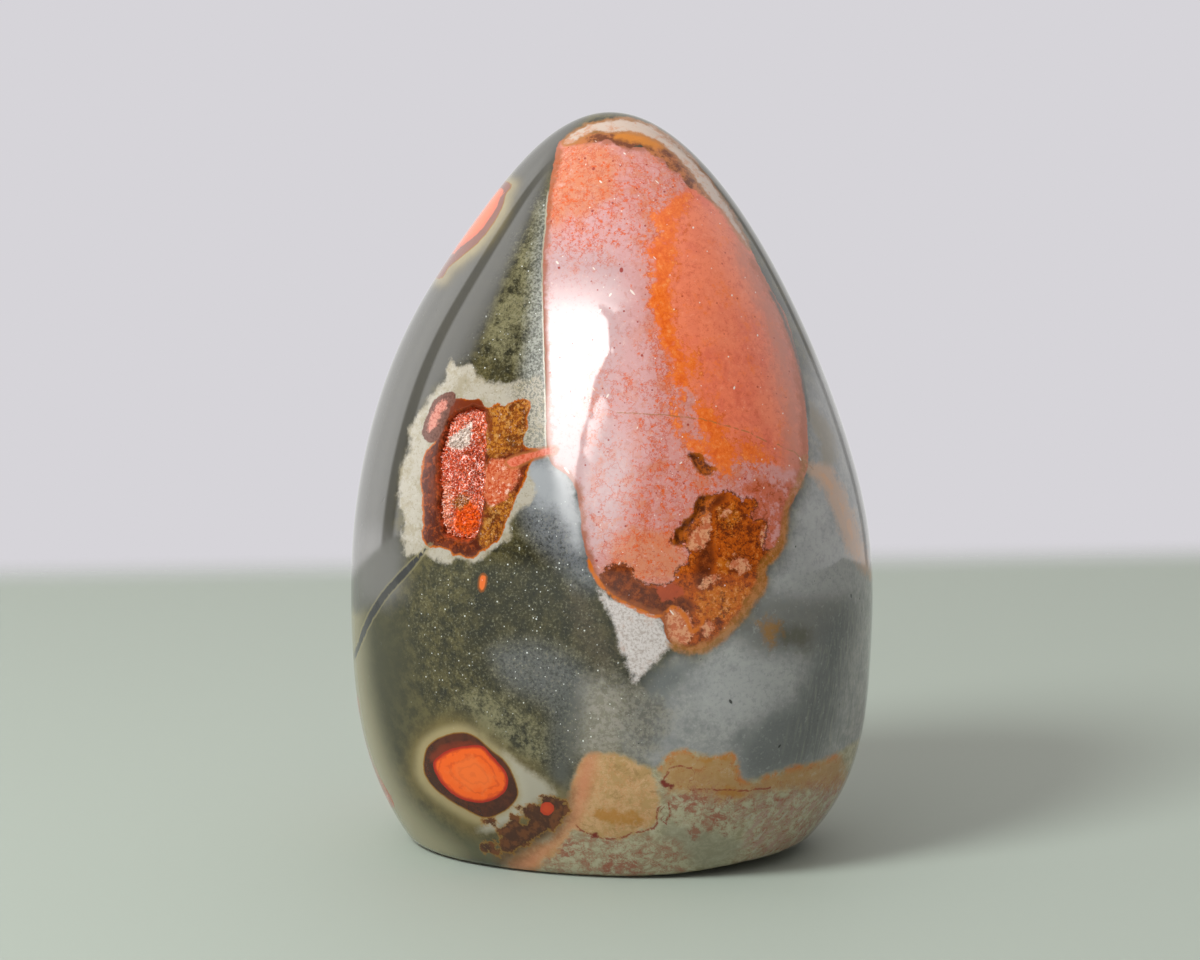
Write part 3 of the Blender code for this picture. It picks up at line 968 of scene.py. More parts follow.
class Paint:
    """Short ways to wire up the colour of one material."""

    def __init__(self, name, share=1.0):
        self.material = bpy.data.materials.new(name)
        self.material.use_nodes = True
        self.tree = self.material.node_tree
        self.shader = self.tree.nodes["Principled BSDF"]
        self.share = share
        inputs = {0: self.add("ShaderNodeTexCoord", output="Object"), "Scale": 1.0 / MM}
        self.place = self.add("ShaderNodeVectorMath", {"operation": "SCALE"}, inputs)

    def add(self, kind, settings=None, inputs=None, output=0):
        """Add a node to this material, and give the output that is wanted of it."""
        return wired(self.tree, kind, settings, inputs).outputs[output]

    def feed(self, label, socket):
        """Run the shader's own input of that name from a socket."""
        self.tree.links.new(socket, self.shader.inputs[label])

    def field(self, name):
        """A field of the mesh."""
        return self.add("ShaderNodeAttribute", {"attribute_name": name}, output="Fac")

    def calc(self, operation, first, second=0.0, third=0.0):
        """Arithmetic on numbers or sockets."""
        return self.add("ShaderNodeMath", {"operation": operation}, {0: first, 1: second, 2: third})

    def times(self, *values):
        """Product of several numbers or sockets."""
        product = values[0]
        for value in values[1:]:
            product = self.calc("MULTIPLY", product, value)
        return product

    def moved(self, shift, stretch, lean=0.0):
        """Places moved along, stretched and leant, so that one pattern doesn't repeat another."""
        if not shift and not stretch:
            return self.place
        longer = [1.0 / part for part in stretch or (1.0, 1.0, 1.0)]
        turned = {"Location": (shift, shift, shift), "Rotation": (0.0, lean, 0.0), "Scale": longer}
        return self.add("ShaderNodeMapping", {"vector_type": "TEXTURE"}, {"Vector": self.place, **turned})

    def noise(self, size, detail=3.0, rough=0.6, twist=0.0, shift=0.0, stretch=None, lean=0.0):
        """Cloudy noise round 0.5, with features of about the given size in millimetres."""
        inputs = {"Scale": 1.0 / size, "Detail": detail, "Roughness": rough, "Distortion": twist}
        inputs["Vector"] = self.moved(shift, stretch, lean)
        return self.add("ShaderNodeTexNoise", None, inputs)

    def dots(self, spacing, radius, share, shift=0.0, stretch=None, lean=0.0):
        """Scattered dots: 1 inside a dot and 0 outside, in the given share of the cells."""
        inputs = {"Vector": self.moved(shift, stretch, lean), "Scale": 1.0 / spacing}
        cells = wired(self.tree, "ShaderNodeTexVoronoi", None, inputs).outputs
        pick = wired(self.tree, "ShaderNodeSeparateColor", None, {0: cells["Color"]}).outputs
        size = self.calc("MULTIPLY_ADD", pick[1], radius / spacing, 0.5 * radius / spacing)
        inside = self.band(self.calc("SUBTRACT", size, cells["Distance"]), 0.0, 0.3 * radius / spacing)
        return self.calc("MULTIPLY", self.calc("LESS_THAN", pick[0], share), inside)

    def band(self, value, low, high):
        """A smooth step from 0 at low to 1 at high."""
        settings = {"interpolation_type": "SMOOTHSTEP", "clamp": True}
        inputs = {"Value": value, "From Min": low, "From Max": high, "To Min": 0.0, "To Max": 1.0}
        return self.add("ShaderNodeMapRange", settings, inputs)

    def ragged(self, field, reach, noise):
        """A named field or a socket whose edge wanders in and out by about the reach."""
        if isinstance(field, str):
            field = self.field(field)
        return self.calc("ADD", field, self.calc("MULTIPLY_ADD", noise, 5.0 * reach, -2.5 * reach))

    def over(self, under, colour, cover):
        """Lay a colour over another one where cover is 1."""
        settings = {"data_type": "RGBA", "clamp_factor": True}
        tones = [shade(*tone, self.share) if isinstance(tone, tuple) else tone for tone in (under, colour)]
        return self.add("ShaderNodeMix", settings, {0: cover, 6: tones[0], 7: tones[1]}, output=2)

    def stain(self, under, colour, value, low, high, share=None):
        """Lay a colour over another one where a value has risen from low to high."""
        cover = self.band(value, low, high)
        return self.over(under, colour, self.times(cover, share) if share else cover)

    def stained(self, colour, *stains):
        """Lay several stains in turn, each as its colour, its value, low, high and share."""
        for stain in stains:
            colour = self.stain(colour, *stain)
        return colour


p = Paint("polished_jasper", STONE_SHARE)

# Noises that all the layers share
broad = p.noise(14.0, 3.0, 0.55)
clouds = p.noise(4.0, 4.0, 0.6, shift=3.0)
wander = p.noise(1.5, 6.0, 0.66, shift=9.0)
mottle = p.noise(2.4, 8.0, 0.76, shift=21.0)
specks = p.noise(0.34, 2.0, 0.7, shift=7.0)
crumbs = p.noise(0.9, 6.0, 0.8, shift=14.0)
fine_crumbs = p.noise(0.62, 6.0, 0.82, shift=33.0)
grit = p.noise(0.7, 4.0, 0.75, shift=5.0)
threads = p.calc("ABSOLUTE", p.calc("SUBTRACT", p.noise(2.6, 7.0, 0.7, shift=17.0), 0.5))

# Ground: olive and grainy in the middle, grey to the left, blue-grey to the right, with painted reflections
# and a painted highlight
grainy = p.band(p.ragged("grainy", 1.5, clouds), -2.0, 2.0)
colour = p.stain((66, 61, 38), (95, 87, 54), mottle, 0.46, 0.58)
colour = p.stain(colour, (44, 42, 30), mottle, 0.47, 0.38, 0.85)
olive_light = p.band(p.ragged("olive_light", 1.4, mottle), -2.0, 2.0)
colour = p.over(colour, (134, 128, 96), p.times(olive_light, p.band(mottle, 0.38, 0.54), 0.8))
colour = p.stained(
    colour,
    ((66, 64, 46), p.field("smooth_left"), -4.0, 3.0, 0.88),
    ((100, 98, 72), p.ragged("lower_glow", 0.8, clouds), -1.5, 1.5, 0.8),
    ((166, 158, 126), p.field("pale_flank"), -2.4, 1.8, 0.85),
    # Painted reflection in part: the grey at the left and its lighter spot
    ((86, 84, 79), p.ragged("grey_left_and_reflection", 0.3, clouds), -0.9, 1.1, 0.95),
    ((132, 129, 128), p.ragged("left_reflection_spot", 0.5, clouds), -2.5, 2.5, 0.55),
    ((40, 38, 28), p.ragged("dark_heart", 1.6, clouds), -3.0, 3.0, 0.6),
    ((98, 86, 68), p.ragged("brown_haze", 1.0, mottle), -2.0, 2.0, 0.6),
    # Painted reflection: the grey veil over the dark middle
    ((106, 107, 108), p.ragged("reflection_veil", 0.9, mottle), -1.6, 2.6, 0.8),
)
pale_middle = p.stain((144, 138, 124), (168, 162, 152), grit, 0.44, 0.56)
colour = p.stained(
    colour,
    (pale_middle, p.ragged("pale_middle", 2.0, mottle), -3.0, 3.0, 0.85),
    ((90, 91, 88), p.ragged("dark_band", 0.9, mottle), -1.6, 1.6, 0.75),
    # Painted reflection: the haze below the window's streak
    ((124, 127, 134), p.ragged("reflected_haze", 0.9, mottle), -2.0, 2.0, 0.8),
)
blue = p.stain((150, 150, 150), (170, 169, 166), mottle, 0.42, 0.6)
blue = p.stained(
    blue,
    ((128, 130, 131), clouds, 0.5, 0.38, 0.5),
    ((176, 176, 176), p.ragged("blue_pale", 1.8, mottle), -3.0, 2.6, 0.8),
    # Painted reflection: the table's shadow mirrored at the right, as darker blue-grey
    ((110, 108, 104), p.ragged("blue_reflected_shadow", 1.2, mottle), -2.0, 1.8, 0.75),
    ((106, 109, 109), p.ragged("blue_shade_reflected", 1.0, clouds), -2.2, 2.2, 0.9),
    ((126, 128, 130), grit, 0.48, 0.38, 0.35),
    ((188, 188, 187), grit, 0.55, 0.68, 0.3),
)
blue_side = p.band(p.ragged("blue_side", 0.5, clouds), -1.6, 2.0)
colour = p.over(colour, blue, blue_side)
dusk = p.stain((96, 92, 82), (132, 126, 112), grit, 0.44, 0.56)
colour = p.stain(colour, dusk, p.ragged("dusk_middle", 2.0, mottle), -2.4, 2.4, 0.8)
olive_only = p.times(grainy, p.band(p.field("pale_middle"), -0.5, -2.5))
colour = p.over(colour, (34, 33, 24), p.times(p.band(specks, 0.5, 0.33), olive_only, 0.6))
colour = p.over(colour, (44, 43, 34), p.times(p.band(grit, 0.47, 0.36), olive_only, 0.45))
colour = p.over(colour, (156, 152, 126), p.times(p.band(specks, 0.55, 0.7), grainy, 0.4))
# Painted highlight: the pale tail below the window's streak
highlight_tail = p.band(p.ragged("highlight_tail", 1.0, mottle), -1.4, 1.8)
colour = p.over(colour, (172, 174, 178), p.times(highlight_tail, 0.9))
# Painted highlight: the pale, speckled strip along the patch's left edge, where the duller polish spreads the
# window's streak; the strip is also rougher
frosted_with_sheen = p.times(
    p.band(p.ragged("frosted_sheen_edge", 0.9, mottle), -1.2, 1.6),
    p.band(p.field("salmon"), -0.05, -0.35),
)
frosted_sheen_colour = p.stain((104, 105, 98), (170, 171, 164), specks, 0.38, 0.62)
colour = p.over(colour, frosted_sheen_colour, p.times(frosted_with_sheen, 0.8))
brushed = p.noise(0.36, 3.0, 0.6, shift=2.0, stretch=(1.0, 1.0, 0.05), lean=0.24)
brushed_area = p.band(p.field("brushed"), -1.0, 4.0)
colour = p.over(colour, (88, 89, 84), p.times(p.band(brushed, 0.5, 0.36), brushed_area, 0.28))
colour = p.over(colour, (166, 164, 148), p.times(p.band(brushed, 0.52, 0.66), brushed_area, 0.32))

# Tiny black pits in the blue-grey ground
pits = p.calc(
    "MAXIMUM",
    p.dots(1.2, 0.08, 0.25, stretch=(1.0, 1.0, 0.5), lean=0.6),
    p.dots(2.2, 0.16, 0.25, shift=31.0, stretch=(1.0, 1.0, 0.36), lean=0.9),
)
pits = p.calc("MAXIMUM", pits, p.dots(3.4, 0.2, 0.35, shift=47.0, stretch=(1.0, 1.0, 0.45), lean=-0.6))
colour = p.over(colour, (40, 41, 42), p.times(pits, blue_side, 0.9))

# Right-hand streaks and smudge
colour = p.stained(
    colour,
    ((202, 160, 128), p.ragged("tan_streak", 0.7, mottle), -0.7, 0.7, 0.88),
    ((220, 160, 108), p.ragged("tan_streak", 0.9, wander), 0.8, 1.7, 0.6),
    ((136, 122, 96), p.ragged("olive_streak", 0.5, mottle), -0.6, 0.8, 0.8),
    ((84, 80, 62), p.ragged("dark_smudge", 1.0, mottle), -1.2, 1.6, 0.75),
    ((158, 108, 34), p.ragged("smudge", 1.6, mottle), -0.8, 1.2, 0.8),
)

# Cream halos of the vug patch and the eyes
halo_edge = p.ragged("vug_halo", 0.5, wander)
halo_colour = p.stain((184, 175, 160), (168, 157, 134), mottle, 0.46, 0.6)
halo_colour = p.stain(halo_colour, (124, 116, 90), specks, 0.56, 0.7, 0.5)
halo_colour = p.stain(halo_colour, (204, 198, 186), grit, 0.54, 0.66, 0.4)
right_halo = p.times(p.band(p.ragged("frosted_sheen_edge", 0.6, clouds), -2.6, 0.6), p.band(specks, 0.56, 0.44))
halo_cover = p.times(p.band(halo_edge, -0.25, 0.5), p.calc("SUBTRACT", 1.0, p.times(right_halo, 0.7)))
colour = p.over(colour, halo_colour, halo_cover)
eye_halo_colour = p.stain((120, 104, 60), (170, 154, 112), p.field("eye"), -2.0, -0.5)
colour = p.stain(colour, eye_halo_colour, p.ragged("eye_halo", 0.4, clouds), -1.8, 2.0, 0.9)
eye_pale_edge = p.ragged("eye_pale", 0.4, mottle)
colour = p.stain(colour, (180, 174, 158), eye_pale_edge, -0.6, 0.9, 0.85)

# Frosted white triangle under the salmon patch
frost_edge = p.ragged("frost", 0.9, mottle)
frost_colour = p.stain((222, 213, 211), (188, 174, 168), specks, 0.42, 0.66)
frost_colour = p.stain(frost_colour, (196, 166, 152), mottle, 0.54, 0.64, 0.6)
colour = p.stain(colour, frost_colour, frost_edge, -0.5, 0.6)

# The tan foot: peach to the left, then olive-tan and grey with red veins
foot_edge = p.ragged("foot", 0.3, mottle)
foot_mottle = p.noise(1.5, 8.0, 0.78, twist=0.4, shift=12.0, stretch=(0.9, 0.9, 1.1))
foot_streaks = p.noise(1.0, 6.0, 0.72, twist=0.2, shift=19.0, stretch=(1.2, 1.2, 0.3), lean=0.85)
right_foot = p.times(
    p.band(p.ragged("foot_veins", 0.5, mottle), -1.0, 1.0),
    p.band(p.field("right_foot"), -2.0, 2.0),
)
foot_colour = p.stain((188, 180, 150), (158, 150, 118), foot_mottle, 0.44, 0.56)
foot_colour = p.stain(foot_colour, (150, 146, 124), p.ragged("foot_grey", 1.0, mottle), -1.0, 1.4, 0.6)
foot_colour = p.stain(foot_colour, (188, 138, 74), p.ragged("foot_tan", 0.9, mottle), -0.8, 1.0, 0.8)
foot_rim = p.times(
    p.band(foot_edge, 1.2, 0.2),
    p.band(mottle, 0.44, 0.56),
    p.band(p.ragged("foot_tan", 0.6, mottle), -0.6, 0.6),
)
foot_colour = p.over(foot_colour, (204, 118, 48), p.times(foot_rim, 0.85))
foot_colour = p.over(
    foot_colour,
    (176, 100, 44),
    p.times(p.band(crumbs, 0.55, 0.62), p.band(p.field("foot_tan"), -0.5, 0.8), 0.6),
)
vein_zone = p.band(p.ragged("foot_veins", 1.0, clouds), -1.5, 1.5)
foot_colour = p.over(foot_colour, (176, 128, 106), p.times(p.band(foot_mottle, 0.48, 0.57), vein_zone, 0.6))
foot_colour = p.over(foot_colour, (156, 82, 58), p.times(p.band(foot_mottle, 0.59, 0.65), vein_zone, 0.7))
foot_colour = p.over(foot_colour, (164, 74, 50), p.times(p.band(threads, 0.02, 0.005), vein_zone, 0.6))
foot_colour = p.over(foot_colour, (182, 142, 132), p.times(p.band(foot_streaks, 0.5, 0.6), right_foot, 0.7))
foot_colour = p.over(
    foot_colour,
    (192, 186, 168),
    p.times(p.band(foot_streaks, 0.46, 0.38), right_foot, 0.7),
)
red_blotch = p.band(p.ragged("red_blotch", 1.2, wander), -0.2, 0.6)
foot_colour = p.over(foot_colour, (160, 84, 64), p.times(red_blotch, p.band(foot_mottle, 0.46, 0.56), 0.65))
foot_colour = p.stain(foot_colour, (206, 198, 172), foot_mottle, 0.43, 0.34, 0.45)
peach_colour = p.stain((212, 168, 120), (190, 152, 98), mottle, 0.44, 0.58)
peach_colour = p.stained(
    peach_colour,
    ((158, 122, 72), foot_mottle, 0.54, 0.62, 0.6),
    ((226, 188, 146), foot_mottle, 0.44, 0.36, 0.5),
    ((206, 122, 66), threads, 0.014, 0.004, 0.4),
)
peach_edge = p.ragged("foot_peach", 0.8, mottle)
foot_colour = p.stained(
    foot_colour,
    (peach_colour, peach_edge, -0.4, 0.6),
    ((214, 136, 98), p.ragged("foot_rose", 0.7, mottle), -1.2, 1.4, 0.8),
    ((184, 124, 40), p.ragged("foot_ochre", 0.8, wander), -0.5, 0.6, 0.8),
)
foot_seam = p.calc("ABSOLUTE", p.ragged("foot_seam_side", 0.2, wander))
seam_cover = p.times(p.band(foot_seam, 0.2, 0.06), p.band(p.field("foot_seam_inside"), -0.35, -0.05))
foot_colour = p.over(foot_colour, (146, 56, 34), p.times(seam_cover, p.band(crumbs, 0.42, 0.5), 0.85))
foot_colour = p.stain(foot_colour, (124, 38, 22), p.ragged("foot_spot", 0.3, wander), -0.15, 0.15)
colour = p.stain(colour, foot_colour, foot_edge, -0.5, 0.45)

# Brown growth beside the lower eye
dendrite_edge = p.ragged("dendrite", 0.8, wander)
dendrite_colour = p.stain((72, 36, 14), (110, 60, 24), wander, 0.46, 0.6)
colour = p.stained(
    colour,
    ((108, 76, 46), p.ragged("brown_smear", 0.6, mottle), -1.2, 1.2, 0.75),
    ((164, 114, 28), dendrite_edge, -0.35, -0.1, 0.6),
    (dendrite_colour, dendrite_edge, -0.08, 0.14),
)

# Salmon patch: mauve-pink to the left, coral to the right of the orange vein
salmon = p.ragged("salmon", 0.12, wander)
crumb_zone = p.band(p.ragged("orange_crumbs", 1.5, mottle), -3.5, 2.5)
crumb_level = p.calc("MULTIPLY_ADD", crumb_zone, 0.055, fine_crumbs)
mauve = p.stain((216, 150, 144), (208, 136, 120), mottle, 0.44, 0.58)
mauve = p.stain(mauve, (218, 166, 166), p.ragged("pink_glow", 1.2, clouds), -2.0, 2.5, 0.85)
mauve = p.stain(mauve, (220, 138, 98), p.ragged("warm_glow", 1.2, mottle), -1.8, 1.5, 0.8)
# Partly painted highlight: paler mauve under the window's streak and its haze
pale_mauve_and_glare = p.band(p.ragged("pale_mauve_and_glare", 1.0, mottle), -2.2, 1.8)
mauve = p.over(mauve, (206, 172, 174), p.times(pale_mauve_and_glare, 0.9))
mauve = p.stain(mauve, (194, 116, 104), grit, 0.46, 0.36, 0.45)
mauve = p.stain(mauve, (232, 192, 186), grit, 0.56, 0.68, 0.45)
mauve = p.over(mauve, (224, 128, 88), p.times(crumb_zone, p.band(mottle, 0.51, 0.58), 0.45))
mauve = p.over(
    mauve,
    (204, 84, 48),
    p.times(p.band(threads, 0.02, 0.005), p.band(crumb_zone, 0.1, 0.7), 0.75),
)
crumb_cover = p.times(p.band(crumb_level, 0.6, 0.625), p.calc("SUBTRACT", 1.0, p.times(pale_mauve_and_glare, 0.7)))
mauve = p.over(mauve, (224, 92, 32), p.times(crumb_cover, 0.9))
red_dots = p.calc(
    "MAXIMUM",
    p.dots(0.9, 0.13, 0.3, shift=2.0),
    p.dots(1.8, 0.2, 0.25, shift=23.0, stretch=(1.0, 1.0, 0.6)),
)
mauve = p.over(mauve, (158, 44, 34), p.times(red_dots, 0.85))
coral_edge = p.ragged(p.ragged("coral", 0.5, crumbs), 0.6, mottle)
coral = p.stain((242, 126, 92), (230, 112, 84), mottle, 0.44, 0.58)
coral = p.stained(
    coral,
    ((246, 140, 102), broad, 0.46, 0.58, 0.5),
    ((212, 94, 66), grit, 0.46, 0.36, 0.6),
    ((250, 156, 122), grit, 0.56, 0.68, 0.45),
)
coral = p.over(coral, (246, 122, 52), p.times(p.band(clouds, 0.53, 0.6), p.band(crumbs, 0.48, 0.56), 0.6))
coral = p.stain(coral, (204, 84, 44), threads, 0.008, 0.002, 0.5)
coral = p.stain(coral, (206, 124, 100), p.ragged("dusky_side", 1.2, mottle), -1.4, 1.8, 0.85)
coral = p.over(coral, (172, 60, 36), p.times(p.dots(1.1, 0.12, 0.3, shift=27.0), 0.8))
salmon_colour = p.stain(mauve, coral, coral_edge, -0.7, 0.6)
mottled = p.times(p.band(p.ragged("rust_mottle", 1.0, mottle), -1.0, 1.2), p.band(mottle, 0.42, 0.5))
salmon_colour = p.over(
    salmon_colour,
    p.stain((206, 100, 66), (162, 68, 22), fine_crumbs, 0.5, 0.58),
    p.times(mottled, 0.85),
)
vein_edge = p.ragged(p.ragged("vein", 1.3, crumbs), 0.8, wander)
vein_colour = p.stain((230, 94, 20), (244, 118, 40), crumbs, 0.42, 0.52)
vein_colour = p.stain(vein_colour, (246, 150, 84), crumbs, 0.55, 0.62, 0.8)
vein_colour = p.stain(vein_colour, (226, 90, 26), specks, 0.56, 0.66, 0.6)
salmon_colour = p.over(
    salmon_colour,
    (240, 126, 66),
    p.times(p.band(vein_edge, -1.8, 0.2), p.band(fine_crumbs, 0.5, 0.56), 0.8),
)
salmon_colour = p.stain(salmon_colour, vein_colour, vein_edge, -0.5, 0.4, 0.92)
salmon_colour = p.over(
    salmon_colour,
    (206, 70, 18),
    p.times(p.band(vein_edge, -0.6, -0.2), p.band(vein_edge, 0.3, 0.0), p.band(crumbs, 0.5, 0.56), 0.7),
)

# Rust that eats the patch's lower end, with the chips of salmon left in it
rust_edge = p.ragged("rust", 0.4, crumbs)
rust_colour = p.stain((124, 50, 4), (184, 80, 6), crumbs, 0.41, 0.49)
rust_colour = p.stain(rust_colour, (206, 98, 14), crumbs, 0.5, 0.55, 0.9)
rust_colour = p.over(
    rust_colour,
    (220, 138, 64),
    p.times(p.band(crumbs, 0.56, 0.61), p.band(mottle, 0.48, 0.55), 0.9),
)
gold_rust = p.band(p.ragged("gold_rust", 1.4, crumbs), -0.3, 0.5)
rust_colour = p.over(rust_colour, (210, 118, 24), p.times(gold_rust, p.band(fine_crumbs, 0.44, 0.52), 0.75))
rust_colour = p.over(rust_colour, (232, 158, 96), p.times(gold_rust, p.band(fine_crumbs, 0.555, 0.6), 0.85))
rust_colour = p.over(
    rust_colour,
    (86, 32, 4),
    p.times(p.band(threads, 0.022, 0.008), p.band(clouds, 0.42, 0.5), 0.85),
)
dark_edge = p.ragged("dark_rust", 1.0, crumbs)
dark_colour = p.stain((84, 32, 4), (134, 56, 12), crumbs, 0.46, 0.58)
rust_colour = p.stain(rust_colour, dark_colour, dark_edge, -0.4, 0.4, 0.85)
chip_edge = p.ragged("pink_chip", 0.75, crumbs)
rust_colour = p.stain(rust_colour, (120, 48, 8), chip_edge, -0.45, -0.1, 0.35)
chip_colour = p.stain((234, 166, 124), (206, 110, 72), grit, 0.45, 0.57)
rust_colour = p.stain(rust_colour, chip_colour, chip_edge, -0.12, 0.25, 0.88)
rose_edge = p.ragged("rose_chip", 0.6, crumbs)
rust_colour = p.stain(rust_colour, (180, 74, 40), rose_edge, -0.15, 0.15, 0.85)
rust_shadow = p.times(p.band(rust_edge, -0.4, -0.08), p.band(crumbs, 0.42, 0.5))
salmon_colour = p.over(salmon_colour, (98, 42, 12), rust_shadow)
salmon_colour = p.stain(salmon_colour, rust_colour, rust_edge, -0.08, 0.1)

# Rims of the patch: brown along both sides, gold along the bottom, ochre to the lower right
left_rim = p.times(p.band(p.ragged(salmon, 0.4, wander), 1.1, 0.2), p.band(p.field("coral"), -1.0, -4.0))
salmon_colour = p.over(salmon_colour, (158, 84, 42), p.times(left_rim, 0.75))
salmon_colour = p.stain(salmon_colour, (178, 84, 30), p.ragged("side_rim", 0.4, wander), -0.7, 0.3, 0.85)
# Painted highlight: a pale line just outside the patch's left edge
pale_sheen_rim = p.times(p.band(salmon, -0.28, -0.1), p.band(p.field("frosted_sheen_edge"), -1.6, -0.6))
colour = p.over(colour, (206, 196, 176), p.times(pale_sheen_rim, 0.6))
colour = p.stained(
    colour,
    (salmon_colour, salmon, -0.06, 0.07),
    # Painted reflection: the thin dark line along the right edge
    ((56, 58, 44), p.ragged("side_reflection_line", 0.12, wander), -0.25, 0.12, 0.85),
    ((218, 112, 14), p.ragged("gold_edge", 0.15, wander), -0.18, 0.1, 0.9),
)
ochre = p.ragged("ochre_rim", 0.4, mottle)
ochre_colour = p.stain((160, 104, 34), (192, 128, 72), crumbs, 0.46, 0.56)
colour = p.stain(colour, ochre_colour, ochre, -0.15, 0.6, 0.8)

# Bands over the top
brown_edge = p.ragged("brown_band", 0.3, wander)
brown_colour = p.stain((112, 54, 20), (188, 112, 58), mottle, 0.44, 0.58)
colour = p.stain(colour, brown_colour, brown_edge, -0.14, 0.14)
gold_band = p.ragged("gold_band", 0.4, wander)
colour = p.stain(colour, (214, 130, 34), gold_band, -0.4, 0.4, 0.85)
cream_edge = p.ragged("cream_band", 0.25, wander)
colour = p.stain(colour, (176, 116, 62), cream_edge, -0.5, -0.1, 0.75)
cream_colour = p.stain((208, 188, 174), (202, 150, 122), mottle, 0.5, 0.62)
colour = p.stain(colour, cream_colour, cream_edge, -0.1, 0.25, 0.92)

# Rust patch round the vug
patch_edge = p.ragged("vug_patch", 0.22, wander)
patch_colour = p.stain((112, 47, 22), (86, 31, 9), mottle, 0.44, 0.56)
patch_colour = p.stain(patch_colour, (176, 78, 20), grit, 0.52, 0.62, 0.6)
patch_colour = p.stain(patch_colour, (190, 96, 16), patch_edge, 0.35, 0.1)
gold_grain = p.stain((136, 68, 22), (194, 122, 40), specks, 0.42, 0.6)
gold_grain = p.stained(
    gold_grain,
    ((92, 40, 12), mottle, 0.5, 0.43, 0.85),
    ((206, 150, 80), grit, 0.54, 0.62, 0.7),
    ((232, 214, 190), fine_crumbs, 0.6, 0.63, 0.8),
)
patch_colour = p.stain(patch_colour, gold_grain, p.ragged("vug_gold", 0.5, mottle), -0.4, 0.4)
patch_colour = p.stain(patch_colour, (118, 46, 16), p.ragged("vug_crown", 0.5, mottle), -0.3, 0.3, 0.85)
rose_grain = p.stain((208, 116, 78), (186, 66, 24), specks, 0.44, 0.6)
rose_grain = p.stain(rose_grain, (244, 204, 184), grit, 0.56, 0.62, 0.75)
rose_patch = p.ragged("vug_rose", 0.5, crumbs)
patch_colour = p.stain(patch_colour, rose_grain, rose_patch, -0.3, 0.3)
colour = p.stain(colour, patch_colour, patch_edge, -0.05, 0.08)
arm_edge = p.ragged("vug_arm", 0.15, wander)
colour = p.stain(colour, (176, 104, 54), arm_edge, -0.5, -0.05, 0.75)
colour = p.stain(colour, p.stain((222, 120, 92), (206, 88, 56), specks, 0.46, 0.6), arm_edge, -0.05, 0.15)
lobe_edge = p.ragged("vug_lobe", 0.2, wander)
colour = p.stain(colour, p.stain((118, 74, 60), (94, 50, 34), specks, 0.45, 0.6), lobe_edge, -0.08, 0.1)
pink_edge = p.ragged("vug_pink", 0.4, crumbs)
colour = p.stain(colour, p.stain((216, 142, 124), (186, 98, 80), specks, 0.46, 0.62), pink_edge, -0.15, 0.2)
pit_colour = p.stain((112, 36, 12), (196, 80, 40), crumbs, 0.46, 0.54)
colour = p.stain(colour, pit_colour, p.ragged("pit", 0.5, crumbs), -0.1, 0.4, 0.8)

# Eyes
eye_edge = p.ragged("eye", 0.06, wander)
eye_core = p.ragged("eye_core", 0.06, wander)
ring_colour = p.stain((64, 26, 8), (86, 36, 12), mottle, 0.45, 0.58)
ring_colour = p.stain(ring_colour, (128, 42, 14), p.ragged("eye_rust", 0.2, wander), -0.3, 0.4, 0.8)
colour = p.stain(colour, (146, 98, 24), eye_edge, -0.2, -0.04)
colour = p.stain(colour, ring_colour, eye_edge, -0.06, 0.1)
colour = p.over(
    colour,
    (146, 92, 78),
    p.times(p.band(eye_edge, -0.06, 0.1), p.band(p.field("side_eye"), -3.0, -1.0), 0.7),
)
ripples = p.calc("SINE", p.times(p.ragged("eye_core", 0.9, clouds), 5.5))
core_colour = p.stain((250, 100, 14), (226, 78, 8), ripples, 0.1, 1.0, 0.75)
core_colour = p.stained(
    core_colour,
    ((252, 124, 50), p.ragged("eye_core", 1.2, mottle), 1.2, 2.4, 0.5),
    ((180, 32, 4), eye_core, 0.6, 0.15),
    ((226, 128, 92), p.field("side_eye"), -3.0, -1.0, 0.65),
    ((196, 62, 26), p.field("dendrite"), -0.6, 0.0, 0.8),
)
colour = p.stain(colour, core_colour, eye_core, -0.05, 0.06)

# Crack, hair-thin seams, bead and fissures
crack_edge = p.ragged("crack", 0.08, wander)
colour = p.stain(colour, (150, 140, 104), crack_edge, -0.24, -0.1, 0.45)
colour = p.stain(colour, p.stain((52, 50, 52), (70, 68, 68), clouds, 0.44, 0.58), crack_edge, -0.06, 0.12)
seam = p.calc("ABSOLUTE", p.ragged("seam_side", 0.12, wander))
seam_cover = p.times(
    p.band(seam, 0.13, 0.04),
    p.band(p.field("seam_inside"), -0.35, -0.05),
    p.band(crumbs, 0.4, 0.5),
)
colour = p.over(colour, (170, 112, 62), p.times(seam_cover, 0.75))
colour = p.stain(colour, (132, 72, 22), p.field("bead"), -0.15, 0.02)
colour = p.stain(colour, (236, 110, 36), p.field("bead"), 0.1, 0.25)
fissure_edge = p.ragged("fissure", 0.5, crumbs)
fissure_colour = p.stain((84, 34, 2), (170, 84, 10), crumbs, 0.44, 0.56)
colour = p.stain(colour, fissure_colour, fissure_edge, -0.3, 0.15, 0.95)

# White sparkles in the grainy ground, quartz grains and painted glints, and fine pale flecks on the patch,
# dust and painted glints
off_patch = p.band(p.field("salmon"), 0.0, -0.4)
# Partly painted highlight: the white sparkles are quartz grains and painted glints
sparkles_and_glints = p.calc("MAXIMUM", p.dots(0.5, 0.075, 0.35, shift=4.0), p.dots(1.5, 0.13, 0.3, shift=17.0))
sparkle_and_glint_cover = p.times(sparkles_and_glints, p.band(mottle, 0.45, 0.53), grainy, off_patch)
colour = p.over(colour, (246, 248, 244), sparkle_and_glint_cover)
